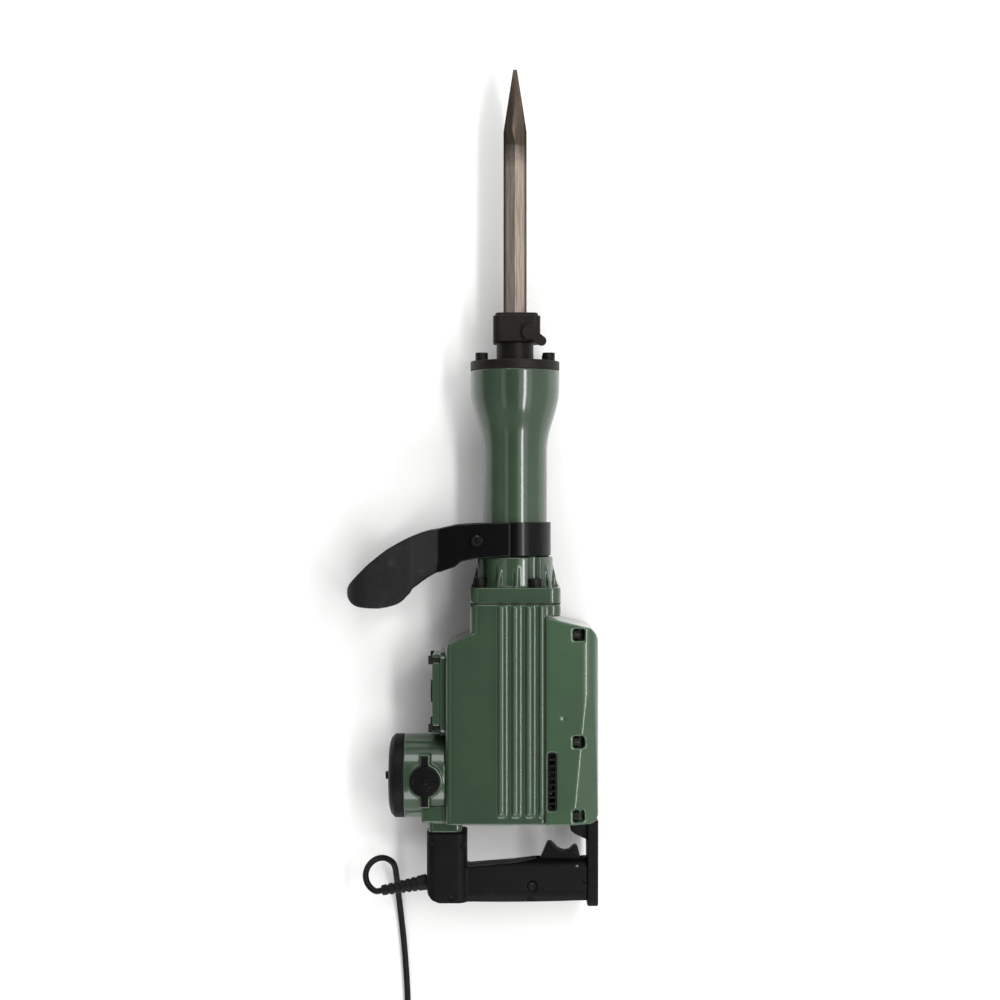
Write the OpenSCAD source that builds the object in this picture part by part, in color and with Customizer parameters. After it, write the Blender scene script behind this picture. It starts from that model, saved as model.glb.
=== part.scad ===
// Electric demolition hammer with a 30 mm hexagon bull-point chisel, lying on its side.
// The tool axis runs along +Y, the chisel end first. +Z is up, away from the floor.
// The origin is on the floor, under the tool axis.

/* [Castings] */
// Half of the depth of the crank case and the gear cover, without the ribs
case_half = 60; // [59:0.5:61]
// Height of the ribs on the two flat sides of the crank case
rib_h = 5; // [4:0.5:6]
// Distance between two ribs
rib_pitch = 17.6; // [16:0.2:18]
// Outer radius of the neck of the cylinder case
neck_r = 41.6; // [41.2:0.2:42]
// Outer radius of the front end of the cylinder case
front_r = 57.8; // [57:0.2:59]
// Half width of the square flange at the foot of the cylinder case
flange_half = 58; // [57:0.5:59]
// Wall of the gear cover
cover_wall = 6.5; // [6:0.5:7]

/* [Chisel] */
// Width of the chisel across two flats of its hexagon
hex_af = 30; // [29.6:0.1:30.2]
// Whole length of the chisel
chisel_l = 410; // [400:10:450]
// Length of the ground four-sided point
point_l = 98; // [80:2:110]

/* [Motor and gears] */
// Outer radius of the motor housing
motor_r = 54; // [53:0.5:54.5]
// Module of the first pair of gears
module_1 = 1.75; // [1.7:0.05:1.8]
// Module of the second pair of gears
module_2 = 2.5; // [2.4:0.05:2.5]

/* [Hammer mechanism] */
// Throw of the crank, half of the piston's stroke
throw = 14; // [10:0.5:14]
// Length of the connecting rod between its two pins
rod_l = 100; // [98:1:102]
// Bore radius of the cylinder
bore_r = 27; // [26.5:0.1:27.2]

/* [Handles] */
// Outer half width of the side handle
loop_half = 65; // [62:1:65]
// Half thickness of the rear grip
grip_half = 22; // [21:0.5:23]
// Half thickness of the post of the rear handle
post_half = 28; // [27:0.5:29]

/* [Cord] */
// Diameter of the mains cord
cord_d = 8; // [7:0.5:8]
// Radius of the coil at the middle of its turns
coil_r = 44; // [42:1:46]

/* [Hidden] */
$fn = 48;

// Colours
green = [0.28, 0.40, 0.29];
black = [0.09, 0.09, 0.09];
rubber = [0.14, 0.14, 0.14];
steel = [0.62, 0.60, 0.57];
oxide = [0.20, 0.19, 0.18];
copper = [0.72, 0.42, 0.24];
brass = [0.78, 0.66, 0.36];
glass = [0.75, 0.82, 0.80];
paper = [0.45, 0.36, 0.26];

// Fits and small sizes
run = 0.05;
seat = 0.05;
eps = 0.01;
gasket_t = 0.8;

// The tool axis lies at this height when the ribs stand on the floor
axis_z = case_half + rib_h;

// Places along the tool axis
case_bottom = -146;
case_top = 134;
foot_y = case_top + gasket_t;
flange_top = 155;
step_y = 193;
taper_y = 330;
front_y = 434;
plate_y = 446;
block_y = 470;
block_end = 508;
chisel_tip = 825.5;
chisel_end = chisel_tip - chisel_l;

// Places across the tool axis
case_left = -89;
split_x = 38;
cover_right = 106;
cover_top = 118;

// Motor, idler and crank axes, all along X and at the height of the tool axis
motor_y = -91;
teeth_a = 9;
teeth_b = 39;
teeth_c = 14;
teeth_d = 40;
idler_y = motor_y + module_1 * (teeth_a + teeth_b) / 2;
crank_y = idler_y + module_2 * (teeth_c + teeth_d) / 2;
pair_1_x = [44, 56];
pair_2_x = [61, 75];
wall_x = [30, split_x - gasket_t];
cover_bearing_x = 80;
motor_bore = 48;

// Mechanism along the tool axis, at its most forward place
wrist_y = crank_y + throw + rod_l;
crown_y = wrist_y + 24;
striker_y = crown_y + 2 * throw + 3;
striker_l = 103;
striker_gap = 10.5;
bolt_y = striker_y + striker_l + striker_gap;
liner_y = [84, 284];
liner_r = 34;
sleeve_r = 40;

// Retainer pin
pin_r = 7;
pin_x = 19;
pin_y = 482;
chisel_travel = 20;

// Gear cover screws
cover_screw_y = [95.6, -40.5, -134.8];
cover_screw_z = 53;
pocket_x = [73, 88];

// Cylinder case bolts and front bolts
shoulder_bolt_r = 52;
shoulder_bolt_a = [60, 150, 240, 330];
front_bolt_r = 48;
front_bolt_a = [26, 154, 206, 334];

// Brushes
brush_x = -115;
brush_cap_r = 19.5;
tail_x = -143;

// Side handle
strap_y = [194, 238];
strap_t = 4.5;
strap_in = neck_r + 0.4;
strap_out = strap_in + strap_t;
strap_end = -97.5;
clamp_x = -49;
clamp_y = 214.5;

// Rear handle
post_x = [-114, -62];
post_y = [-252, -162];
grip_end = 93;
trigger_pivot = [80, -206];
lock_at = [22, -231];

// Cord
guard_from = [-114, -229.6];
guard_to = [-173, -241];
cord_r = cord_d / 2;
floor_z = cord_r + 0.2;
coil_at = [-90, -475];
coil_w = 3 * cord_d;
coil_h = 2 * cord_d;
cord_route = [
    [-173, -241, 65], [-181, -242, 64.5], [-188.3, -237.8, 61.5], [-193.2, -231.2, 57.5], [-195, -223.3, 53],
    [-193.2, -215.4, 48.5], [-188.3, -209, 44], [-181, -205, 39.5], [-173, -204.6, 35], [-165.6, -208, 30.5],
    [-160.2, -214, 26], [-158, -221.5, 22], [-157, -230, 18.5], [-156, -240, 14.5], [-155, -252, 10.8],
    [-153.6, -266, 7.4], [-152, -282, 5], [-150, -300, 4.2], [-148, -318, 4.2], [-146.4, -336, 4.2],
    [-144.6, -360, 4.2], [-143.2, -384, 4.2], [-142.4, -408, 4.2], [-142, -432, 4.2], [-142, -456, 4.2]
];

// Side view of the side handle and its strap
loop_side = [
    [-97, 229.5], [-110, 227.8], [-123, 224], [-136, 218.8], [-150, 211.4], [-164, 203.2], [-177, 193.2],
    [-188, 184], [-198, 174.2], [-207, 165], [-213, 157.5], [-215.3, 150], [-214, 142], [-209.5, 135.5],
    [-202, 131], [-188, 129.2], [-172, 129], [-157, 132], [-146, 136.5], [-139, 143], [-134.5, 151],
    [-124, 158.5], [-111, 168], [-99, 174.5]
];
strap_side = [
    [0, strap_y[1]], [-40, 237], [-75, 235], [strap_end, 230], [strap_end, 174], [-77, 181],
    [-69, 188], [-49, 192], [0, strap_y[0]]
];

// ---- Helpers ----

// Z of the children runs along the tool axis: their Z is the model's Y.
module on_barrel() {
    translate([0, 0, axis_z]) rotate([-90, 0, 0]) children();
}

// Z of the children runs along X, and their origin is at x, y, on the plane of the axes.
module along_x(x, y, z = 0) {
    translate([x, y, axis_z + z]) rotate([0, 90, 0]) children();
}

// A body turned about the tool axis from [radius, Y] points.
module turned(profile) {
    on_barrel() rotate_extrude($fn = 96) polygon(profile);
}

// A body turned about an axis along X from [radius, X] points.
module turned_x(profile, y) {
    along_x(0, y) rotate_extrude($fn = 96) polygon(profile);
}

// A round bar along X from x[0] to x[1]; z is measured from the plane of the axes.
module bar_x(x, r, y, z = 0) {
    along_x(x[0], y, z) cylinder(r = r, h = x[1] - x[0]);
}

// A round bar along Y from y[0] to y[1].
module bar_y(y, r, x = 0, z = 0) {
    translate([x, y[0], axis_z + z]) rotate([-90, 0, 0]) cylinder(r = r, h = y[1] - y[0]);
}

// A round bar along Z from z[0] to z[1].
module bar_z(z, r, x, y) {
    translate([x, y, axis_z + z[0]]) cylinder(r = r, h = z[1] - z[0]);
}

// A block between its limits; z is measured from the plane of the axes.
module block(x, y, z) {
    translate([x[0], y[0], axis_z + z[0]]) cube([x[1] - x[0], y[1] - y[0], z[1] - z[0]]);
}

// An outline in X and Y, as thick as z says.
module plate_z(z, outline) {
    translate([0, 0, axis_z + z[0]]) linear_extrude(z[1] - z[0]) polygon(outline);
}

// A rectangle with round corners.
module pad(w, h, r) {
    square([w - 2 * r, h], center = true);
    square([w, h - 2 * r], center = true);
    for (sx = [-1, 1], sy = [-1, 1]) translate([sx * (w / 2 - r), sy * (h / 2 - r)]) circle(r);
}

// A rounded pad seen along the tool axis, from y[0] to y[1], centred at x.
module pad_y(y, w, h, r, x = 0) {
    translate([x, y[0], axis_z]) rotate([-90, 0, 0]) linear_extrude(y[1] - y[0]) pad(w, h, r);
}

// A rounded pad seen along X, from x[0] to x[1]: w along Y and h along Z, centred at y.
module pad_x(x, w, h, r, y) {
    along_x(x[0], y) linear_extrude(x[1] - x[0]) pad(h, w, r);
}

// A cap screw with a hexagon socket: its head stands on z = 0 and its shank goes down.
module cap_screw(head_r, head_h, shank_r, shank_l) {
    difference() {
        union() {
            cylinder(r = head_r, h = head_h);
            translate([0, 0, -shank_l]) cylinder(r = shank_r, h = shank_l + eps);
        }
        translate([0, 0, head_h * 0.45]) cylinder(r = head_r * 0.58, h = head_h, $fn = 6);
    }
}

// Copies at each angle round the tool axis.
module round_barrel(angles, r, y) {
    for (a = angles) {
        translate([r * cos(a), y, axis_z + r * sin(a)]) rotate([-90, 0, 0]) children();
    }
}

// Copies at the six screws of the gear cover.
module at_cover_screws(x) {
    for (y = cover_screw_y, side = [-1, 1]) along_x(x, y, side * cover_screw_z) children();
}

// Points of a gear with slim straight-sided teeth; first is the angle of one tooth's middle.
function gear_points(n, m, first) = [
    for (i = [0 : n - 1], p = [[-0.30, -1.15], [-0.10, 0.8], [0.10, 0.8], [0.30, -1.15]])
        let (a = first + (i + p[0]) * 360 / n, r = m * (n / 2 + p[1]))
            [r * cos(a), r * sin(a)]
];

// A gear from x[0] to x[1] with its axis at y; a tooth points along +Y when first is 90.
module gear(x, y, n, m, first, hole) {
    along_x(x[0], y) linear_extrude(x[1] - x[0]) difference() {
        polygon(gear_points(n, m, first));
        if (hole > 0) circle(hole);
    }
}

// Smooth step from 0 to 1.
function ease(t) = (1 - cos(180 * t)) / 2;

// ---- Barrel ----

// Outline of the neck where it widens to its front end.
neck_curve = [
    for (i = [0 : 10])
        [neck_r + (front_r - neck_r) * ease(i / 10), taper_y + (412 - taper_y) * i / 10]
];

module cylinder_case() {
    color(green) difference() {
        union() {
            turned(concat(
                [[liner_r + seat, foot_y], [49, foot_y], [49, step_y], [neck_r, step_y + 1]],
                neck_curve,
                [[front_r, front_y], [sleeve_r + seat, front_y], [sleeve_r + seat, 400], [liner_r + seat, 400]]
            ));
            difference() {
                pad_y([foot_y, flange_top], 2 * flange_half, 2 * flange_half, 14);
                bar_y([foot_y - 1, flange_top + 1], liner_r + seat);
            }
            foot_gussets();
        }
        round_barrel(shoulder_bolt_a, shoulder_bolt_r, foot_y - 1) cylinder(r = 5 + seat, h = 40);
        round_barrel(shoulder_bolt_a, shoulder_bolt_r, flange_top) cylinder(r = 9.5, h = 40);
        round_barrel(front_bolt_a, front_bolt_r, 404) cylinder(r = 5 + seat, h = 40);
    }
}

// Thin ribs that brace the neck on its flange.
module foot_gussets() {
    for (a = [0, 35, 88, 114, 180, 215, 268, 294]) {
        on_barrel() rotate([0, 0, -a]) translate([0, 2.5, 0]) rotate([90, 0, 0])
            linear_extrude(5) polygon([[48, flange_top - 1], [56.5, flange_top - 1], [54, 162], [48, 188]]);
    }
}

module cylinder_case_bolts() {
    color(oxide) round_barrel(shoulder_bolt_a, shoulder_bolt_r, flange_top) cap_screw(8.5, 11, 5, 34);
}

module cylinder_gasket() {
    color(paper) difference() {
        pad_y([case_top, foot_y], 2 * flange_half, 2 * flange_half, 14);
        bar_y([case_top - 1, foot_y + 1], liner_r + seat);
        round_barrel(shoulder_bolt_a, shoulder_bolt_r, case_top - 1) cylinder(r = 5 + seat, h = 4);
    }
}

module front_cover() {
    hex_r = (hex_af + 0.4) / 2 / cos(30);
    color(oxide) difference() {
        union() {
            bar_y([front_y, plate_y], front_r);
            bar_y([420, front_y], sleeve_r);
            bar_y([plate_y, block_y + 1], 24);
            pad_y([block_y, block_end - 4], 61, 58, 9, 2);
            pad_y([block_end - 4 - eps, block_end], 55, 52, 9, 2);
        }
        on_barrel() translate([0, 0, 440]) rotate([0, 0, 30]) cylinder(r = hex_r, h = 80, $fn = 6);
        bar_y([419, 441], 18.5);
        bar_z([-40, 40], pin_r + run, pin_x, pin_y);
        round_barrel(front_bolt_a, front_bolt_r, front_y - 1) cylinder(r = 5 + seat, h = 20);
    }
}

module front_cover_bolts() {
    color(oxide) round_barrel(front_bolt_a, front_bolt_r, plate_y) cap_screw(8, 10, 5, 40);
}

module cylinder_liner() {
    color(steel) difference() {
        union() {
            bar_y([liner_y[0], liner_y[0] + 76], liner_r);
            bar_y([liner_y[0] + 10, liner_y[1] - 10], liner_r - 2);
            bar_y([liner_y[1] - 30, liner_y[1]], liner_r);
        }
        bar_y([liner_y[0] - 1, liner_y[1] + 1], bore_r);
        for (y = [176, 244], a = [0, 90]) {
            on_barrel() translate([0, 0, y]) rotate([0, 90, a]) cylinder(r = 2.5, h = 100, center = true);
        }
    }
}

module impact_sleeve() {
    color(steel) difference() {
        union() {
            bar_y([liner_y[1], 338], liner_r);
            bar_y([337, 391], 27);
            bar_y([390, 404], liner_r);
            bar_y([400, 412], sleeve_r);
        }
        bar_y([liner_y[1] - 1, 329], 25);
        bar_y([328, 413], 16 + run);
        bar_y([405, 413], 18.5);
    }
}

module damper_ring() {
    color(rubber) difference() {
        bar_y([412, 420], sleeve_r);
        bar_y([411, 421], 30);
    }
}

// ---- Crank case ----

case_outline = [
    [-58, case_top], [flange_half, case_top], [flange_half, cover_top + 0.5],
    [wall_x[1], cover_top + 0.5], [wall_x[1], case_bottom], [case_left, case_bottom],
    [case_left, 78], [case_left + 3, 83], [-58, 95]
];
chamber_outline = [
    [-50, 124], [wall_x[0], 124], [wall_x[0], -29], [-81, -29], [-81, 74], [-50, 88]
];

module crank_case() {
    color(green) difference() {
        union() {
            difference() {
                case_shell();
                plate_z([-52, 52], chamber_outline);
                block([-81, wall_x[0]], [-138, -36], [-52, 52]);
            }
            bar_x([case_left, wall_x[0] + 1], 52.5, motor_y);
            intersection() {
                at_cover_screws(18) cylinder(r = 9, h = wall_x[1] - 18);
                block([0, wall_x[1]], [case_bottom, case_top], [-case_half, case_half]);
            }
            case_ribs();
            motor_saddle();
        }
        bar_x([case_left - 1, wall_x[0]], motor_bore + seat, motor_y);
        bar_y([liner_y[0] - 1, case_top + 1], liner_r + seat);
        pad_x([case_left - 1, -80], 88, 70, 10, crank_y);
        bar_x([wall_x[0] - 1, wall_x[1] + 1], 17 + seat, motor_y);
        bar_x([wall_x[0] - 1, wall_x[1] + 1], 26 + seat, crank_y);
        bar_x([wall_x[0] - 1, wall_x[1] + 1], 13 + seat, idler_y);
        at_cover_screws(22) cylinder(r = 4 + seat, h = 20);
        round_barrel(shoulder_bolt_a, shoulder_bolt_r, 120) cylinder(r = 5 + seat, h = 20);
        for (y = [62, -25], z = [-39, 39]) bar_x([-90, -83], 3 + seat, y, z);
    }
}

// The box of the crank case, its long edges round, with its two shoulders.
module case_shell() {
    intersection() {
        plate_z([-case_half, case_half], case_outline);
        union() {
            pad_y([case_bottom, 96], 320, 2 * case_half, 9, case_left + 160);
            pad_y([90, case_top], 2 * flange_half, 2 * case_half, 12);
        }
    }
}

// Raised ribs on both flat sides; the last one is narrow, at the split.
module case_ribs() {
    for (side = [0, 1]) {
        translate([0, 0, axis_z]) mirror([0, 0, side]) {
            for (x = [-rib_pitch, 0, rib_pitch]) rib(x, 4.8, 2.6);
            rib(wall_x[1] - 3.7, 3.7, 2.2);
        }
    }
}

// One rib: half is half its foot, crest is half its top, and its two ends slope.
module rib(x, half, crest) {
    top = case_half + rib_h;
    intersection() {
        translate([x, case_top, 0]) rotate([90, 0, 0]) linear_extrude(case_top + 137)
            polygon([[-half, case_half - 1], [half, case_half - 1], [half, case_half], [crest, top],
                     [-crest, top], [-half, case_half]]);
        translate([x - 10, 0, 0]) rotate([90, 0, 90]) linear_extrude(20)
            polygon([[-137, case_half - 1], [case_top, case_half - 1], [case_top - 3, top], [-131, top]]);
    }
}

// The foot of the motor housing and the neck that carries the rear handle.
module motor_saddle() {
    difference() {
        union() {
            block([-120, case_left + 1], [case_bottom, -118], [-44, 44]);
            pad_y([post_y[1], case_bottom + 1], 44, 2 * post_half - 4, 8, -90);
        }
        bar_x([-121, case_left + 2], motor_r + seat, motor_y);
        block([brush_x - 7, brush_x + 7], [-126, -110], [-60, 60]);
    }
}

module crank_cover() {
    color(green) difference() {
        union() {
            pad_x([-96, case_left], 107, 92, 12, 18);
            pad_x([-106, -95], 101, 86, 16, 18);
        }
        pad_x([-101, case_left + 1], 84, 66, 10, 18);
        bar_x([-107, -100], 12, crank_y);
        for (y = [62, -25], z = [-39, 39]) bar_x([-107, -88], 3 + seat, y, z);
    }
}

module crank_cover_bolts() {
    color(oxide) for (y = [62, -25], z = [-39, 39]) {
        along_x(-106, y, z) mirror([0, 0, 1]) cap_screw(5.5, 5, 3, 22);
    }
}

module sight_glass_bezel() {
    color(oxide) difference() {
        union() {
            bar_x([-109, -106], 15, crank_y);
            bar_x([-106 - eps, -101], 12, crank_y);
        }
        bar_x([-110, -100], 9, crank_y);
    }
}

module oil_sight_glass() {
    color(glass) bar_x([-107, -103], 9, crank_y);
}

// ---- Gear cover ----

cover_outline = [
    [split_x, cover_top], [58, 113], [72, 109.5], [88, 105.5], [96, 103.5], [102.5, 97], [cover_right, 89],
    [cover_right, -135], [103, -142], [97, case_bottom], [split_x, case_bottom]
];
cover_hollow = [
    [split_x - 1, 107], [84, 102], [95, 94], [96, 88], [96, -132], [92, -138], [split_x - 1, -138]
];

module gear_cover() {
    inner = case_half - cover_wall;
    color(green) difference() {
        union() {
            difference() {
                cover_shell();
                plate_z([-inner, inner], cover_hollow);
            }
            intersection() {
                cover_shell();
                union() {
                    for (y = cover_screw_y, side = [-1, 1]) {
                        block([split_x, 92], [y - 11, y + 11], side > 0 ? [41, case_half] : [-case_half, -41]);
                    }
                    bar_x([cover_bearing_x, 97], 31, crank_y);
                    bar_x([cover_bearing_x, 97], 17, idler_y);
                }
            }
        }
        bar_x([cover_bearing_x - 1, 92], 26 + seat, crank_y);
        bar_x([cover_bearing_x - 1, 90], 13 + seat, idler_y);
        at_cover_screws(split_x - 1) cylinder(r = 4 + seat, h = 40);
        for (y = cover_screw_y, side = [-1, 1]) {
            block(pocket_x, [y - 7.5, y + 7.5], side > 0 ? [45, case_half + 1] : [-case_half - 1, -45]);
        }
        for (side = [-1, 1]) {
            block([41, 52], [-128, -54], side > 0 ? [50, case_half + 1] : [-case_half - 1, -50]);
        }
    }
}

// The outside of the gear cover, with its long outer edges well rounded.
module cover_shell() {
    intersection() {
        plate_z([-case_half, case_half], cover_outline);
        pad_y([case_bottom, cover_top], 200, 2 * case_half, 20, cover_right - 100);
    }
}

module gear_cover_gasket() {
    inner = case_half - cover_wall;
    color(paper) difference() {
        union() {
            difference() {
                block(gasket_x(), [case_bottom, cover_top], [-case_half, case_half]);
                block([30, 40], [-138, 107], [-inner, inner]);
            }
            for (y = cover_screw_y, side = [-1, 1]) {
                block(gasket_x(), [y - 11, y + 11], side > 0 ? [41, case_half] : [-case_half, -41]);
            }
        }
        at_cover_screws(30) cylinder(r = 4 + seat, h = 20);
    }
}

// The gasket fills the gap between the two castings.
function gasket_x() = [wall_x[1], split_x];

module gear_cover_screws() {
    color(oxide) at_cover_screws(pocket_x[0]) cap_screw(6.5, 8, 4, pocket_x[0] - 24);
}

module vent_grilles() {
    color(black) for (side = [0, 1]) translate([0, 0, axis_z]) mirror([0, 0, side]) difference() {
        translate([41, -128, 51]) cube([11, 74, 6]);
        for (i = [0 : 8]) translate([43, -125.5 + i * 8, 50]) cube([7, 5, 10]);
    }
}

// ---- Motor ----

module motor_housing() {
    color(green) difference() {
        union() {
            bar_x([tail_x, case_left], motor_r, motor_y);
            intersection() {
                for (side = [-1, 1]) brush_boss(side);
                block([tail_x, case_left - 1], [-150, -30], [-60, 60]);
            }
        }
        bar_x([tail_x - 1, case_left + 1], motor_bore, motor_y);
        bar_z([-60, 60], 11.5 + seat, brush_x, motor_y);
    }
}

// A raised seat for one brush cap and its bar, on the near side (1) or the far side (-1).
module brush_boss(side) {
    span = side > 0 ? [30, 55.5] : [-55.5, -30];
    bar_z(span, 22, brush_x, motor_y);
    block([brush_x - 6.5, brush_x + 6.5], [motor_y - 34, motor_y + 34], span);
}

module brush_caps() {
    color(black) for (side = [-1, 1]) {
        bar_z(side > 0 ? [55.5, 59.5] : [-59.5, -55.5], brush_cap_r, brush_x, motor_y);
    }
}

module brush_cap_bars() {
    color(black) for (side = [0, 1]) translate([brush_x, motor_y, axis_z]) mirror([0, 0, side]) {
        difference() {
            translate([-4.25, -32, 55.5]) cube([8.5, 64, 3]);
            translate([0, 0, 50]) cylinder(r = brush_cap_r + seat, h = 20);
        }
        translate([0, 0, 59.5]) cylinder(r = 4, h = 2);
    }
}

module brush_holders() {
    color(brass) for (side = [0, 1]) translate([brush_x, motor_y, axis_z]) mirror([0, 0, side]) difference() {
        translate([0, 0, 22]) cylinder(r = 11.5, h = 33.5);
        translate([-4.7, -7.2, 21]) cube([9.4, 14.4, 30]);
    }
}

module carbon_brushes() {
    color(oxide) for (side = [0, 1]) translate([brush_x, motor_y, axis_z]) mirror([0, 0, side]) {
        translate([-4.7, -7.2, 18]) cube([9.4, 14.4, 24]);
    }
}

module tail_cover() {
    color(black) difference() {
        union() {
            turned_x([[0, -162.5], [40, -162.5], [49, -160], [motor_r, -155], [motor_r, tail_x],
                      [49, tail_x], [49, -153], [44, -158], [0, -158]], motor_y);
            bar_x([-158.5, -146], 18, motor_y);
        }
        bar_x([-156, -145], 13 + seat, motor_y);
        bar_x([-163, -159], 2 + seat, motor_y);
    }
}

module tail_cover_screw() {
    color(oxide) along_x(-162.5, motor_y) mirror([0, 0, 1]) cap_screw(5, 5.5, 2, 3);
}

module stator_core() {
    color(steel) difference() {
        bar_x([-75, -10], motor_bore, motor_y);
        bar_x([-76, -9], 31.8, motor_y);
    }
}

module field_coils() {
    color(copper) for (x = [[-88, -75], [-10, 3]]) difference() {
        bar_x(x, 45, motor_y);
        bar_x([x[0] - 1, x[1] + 1], 33, motor_y);
    }
}

module ring_x(x, outer, inner, y) {
    difference() {
        bar_x(x, outer, y);
        bar_x([x[0] - 1, x[1] + 1], inner, y);
    }
}

module armature_bearings() {
    color(steel) {
        ring_x([wall_x[0] - 2, wall_x[1]], 17, 8 + run, motor_y);
        ring_x([-156, -147], 13, 8 + run, motor_y);
    }
}

module gear_bearings() {
    color(steel) {
        ring_x([wall_x[0] - 2, wall_x[1]], 26, 12 + run, crank_y);
        ring_x([cover_bearing_x, 92], 26, 12 + run, crank_y);
        ring_x([wall_x[0], wall_x[1]], 13, 7 + run, idler_y);
        ring_x([cover_bearing_x, 90], 13, 7 + run, idler_y);
    }
}

module armature_shaft() {
    color(steel) {
        bar_x([-155.5, pair_1_x[0] - 1], 8, motor_y);
        bar_x([pair_1_x[0] - 1 - eps, pair_1_x[0]], 6, motor_y);
        gear([pair_1_x[0] - eps, pair_1_x[1] + 2], motor_y, teeth_a, module_1, 90, 0);
    }
}

module armature_core() {
    color(copper) {
        ring_x([-75, -10], 31, 8, motor_y);
        ring_x([-84, -75], 26, 8, motor_y);
        ring_x([-10, -1], 26, 8, motor_y);
    }
}

module commutator() {
    color(copper) difference() {
        ring_x([-126, -98], 17.5, 8, motor_y);
        for (a = [0 : 15 : 345]) along_x(-127, motor_y) rotate([0, 0, a])
            translate([16.5, -0.35, 0]) cube([2, 0.7, 24]);
    }
}

module cooling_fan() {
    color(black) {
        ring_x([6, 9], 44, 8, motor_y);
        ring_x([9 - eps, 22], 15, 8, motor_y);
        for (a = [0 : 30 : 330]) along_x(9 - eps, motor_y) rotate([0, 0, a])
            translate([20, -1.2, 0]) cube([23, 2.4, 13]);
    }
}

module idler_shaft() {
    color(steel) {
        bar_x([wall_x[0] + 0.5, pair_2_x[0] - 1], 7, idler_y);
        gear([pair_2_x[0] - 1, pair_2_x[1] + 1], idler_y, teeth_c, module_2, 90, 0);
        bar_x([pair_2_x[1] + 1, 89.5], 7, idler_y);
    }
}

module idler_gear() {
    gap = -90 + 180 / teeth_b;
    color(steel) gear(pair_1_x, idler_y, teeth_b, module_1, gap, 7);
}

module crankshaft() {
    color(steel) {
        bar_x([26, 91.5], 12, crank_y);
        bar_x([14, 26], 31, crank_y);
        bar_x([8.6, 14], 9, crank_y + throw);
    }
}

module crank_gear() {
    gap = -90 + 180 / teeth_d;
    color(steel) difference() {
        gear(pair_2_x, crank_y, teeth_d, module_2, gap, 12);
        for (a = [30 : 60 : 330]) along_x(pair_2_x[0] - 1, crank_y) rotate([0, 0, a])
            translate([29, 0, 0]) cylinder(r = 7, h = 20);
    }
}

// ---- Hammer mechanism ----

module connecting_rod() {
    big_y = crank_y + throw;
    color(steel) difference() {
        union() {
            bar_x([-8, 8], 17, big_y);
            bar_x([-8, 8], 11.5, wrist_y);
            plate_yz([-5, 5], [[big_y, -11], [wrist_y, -8], [wrist_y, 8], [big_y, 11]]);
        }
        bar_x([-9, 9], 9 + run, big_y);
        bar_x([-9, 9], 6 + run, wrist_y);
    }
}

// An outline in Y and Z, as thick as x says; z is measured from the plane of the axes.
module plate_yz(x, outline) {
    translate([x[0], 0, axis_z]) rotate([90, 0, 90]) linear_extrude(x[1] - x[0]) polygon(outline);
}

module piston() {
    color(steel) difference() {
        union() {
            difference() {
                bar_y([wrist_y - 22, crown_y], bore_r - run);
                bar_y([wrist_y - 23, crown_y - 9], 20);
            }
            for (x = [[-22, -9], [9, 22]]) bar_x(x, 10.5, wrist_y);
        }
        bar_x([-24, 24], 6, wrist_y);
        piston_groove(1);
    }
}

// The groove of the piston ring; grow makes the cutter reach past the skirt.
module piston_groove(grow) {
    difference() {
        bar_y([crown_y - 6.5, crown_y - 3.5], bore_r - run + grow);
        bar_y([crown_y - 7, crown_y - 3], bore_r - 2.5);
    }
}

module piston_ring() {
    color(rubber) piston_groove(0);
}

module piston_pin() {
    color(steel) bar_x([-23.5, 23.5], 6, wrist_y);
}

module striker() {
    color(steel) turned([
        [0, striker_y], [bore_r - 3, striker_y], [bore_r - run, striker_y + 3],
        [bore_r - run, striker_y + 82], [17, striker_y + 88], [17, striker_y + striker_l - 2],
        [15, striker_y + striker_l], [0, striker_y + striker_l]
    ]);
}

module impact_bolt() {
    front = chisel_end - 0.5;
    color(steel) turned([
        [0, bolt_y], [20, bolt_y], [22, bolt_y + 2], [22, bolt_y + 23], [16, bolt_y + 26],
        [16, front - 2], [14, front], [0, front]
    ]);
}

// ---- Chisel and retainer ----

module chisel() {
    hex_r = hex_af / 2 / cos(30);
    notch = [pin_y - pin_r - chisel_travel - 1, pin_y + pin_r + 1];
    color(steel) difference() {
        intersection() {
            on_barrel() translate([0, 0, chisel_end]) rotate([0, 0, 30])
                cylinder(r = hex_r, h = chisel_l, $fn = 6);
            union() {
                bar_y([chisel_end + 2, chisel_tip - point_l], 20);
                turned([[0, chisel_end], [15.5, chisel_end], [20, chisel_end + 4], [0, chisel_end + 4]]);
                chisel_point();
            }
        }
        block([pin_x - pin_r - 0.6, 20], notch, [-20, 20]);
    }
}

// The four-sided point, its edges towards the corners of the hexagon and between them.
module chisel_point() {
    base = chisel_tip - point_l - 1;
    on_barrel() intersection() {
        point_wedge(base, 17.5, 2.5, 0);
        point_wedge(base, 17.5, 2.5, 90);
    }
}

// A wedge foot_r on each side at its foot and tip_r at the tip, turned about the tool axis.
module point_wedge(base, foot_r, tip_r, turn) {
    rotate([0, 0, turn]) translate([0, 30, 0]) rotate([90, 0, 0]) linear_extrude(60)
        polygon([[-foot_r, base], [foot_r, base], [tip_r, chisel_tip], [-tip_r, chisel_tip]]);
}

module retainer_lever() {
    color(oxide) {
        difference() {
            bar_z([-30, 29.5], pin_r, pin_x, pin_y);
            block([pin_x, pin_x + 10], [pin_y - 10, pin_y + 10], [-22, 22]);
        }
        bar_z([29.3, 36], 10, pin_x, pin_y);
        translate([pin_x, pin_y, axis_z + 30.5]) rotate([0, 0, -38]) {
            translate([0, -6, 0]) cube([19, 12, 5.5]);
            translate([19, 0, 0]) cylinder(r = 6, h = 5.5);
        }
    }
}

// ---- Side handle ----

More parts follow.
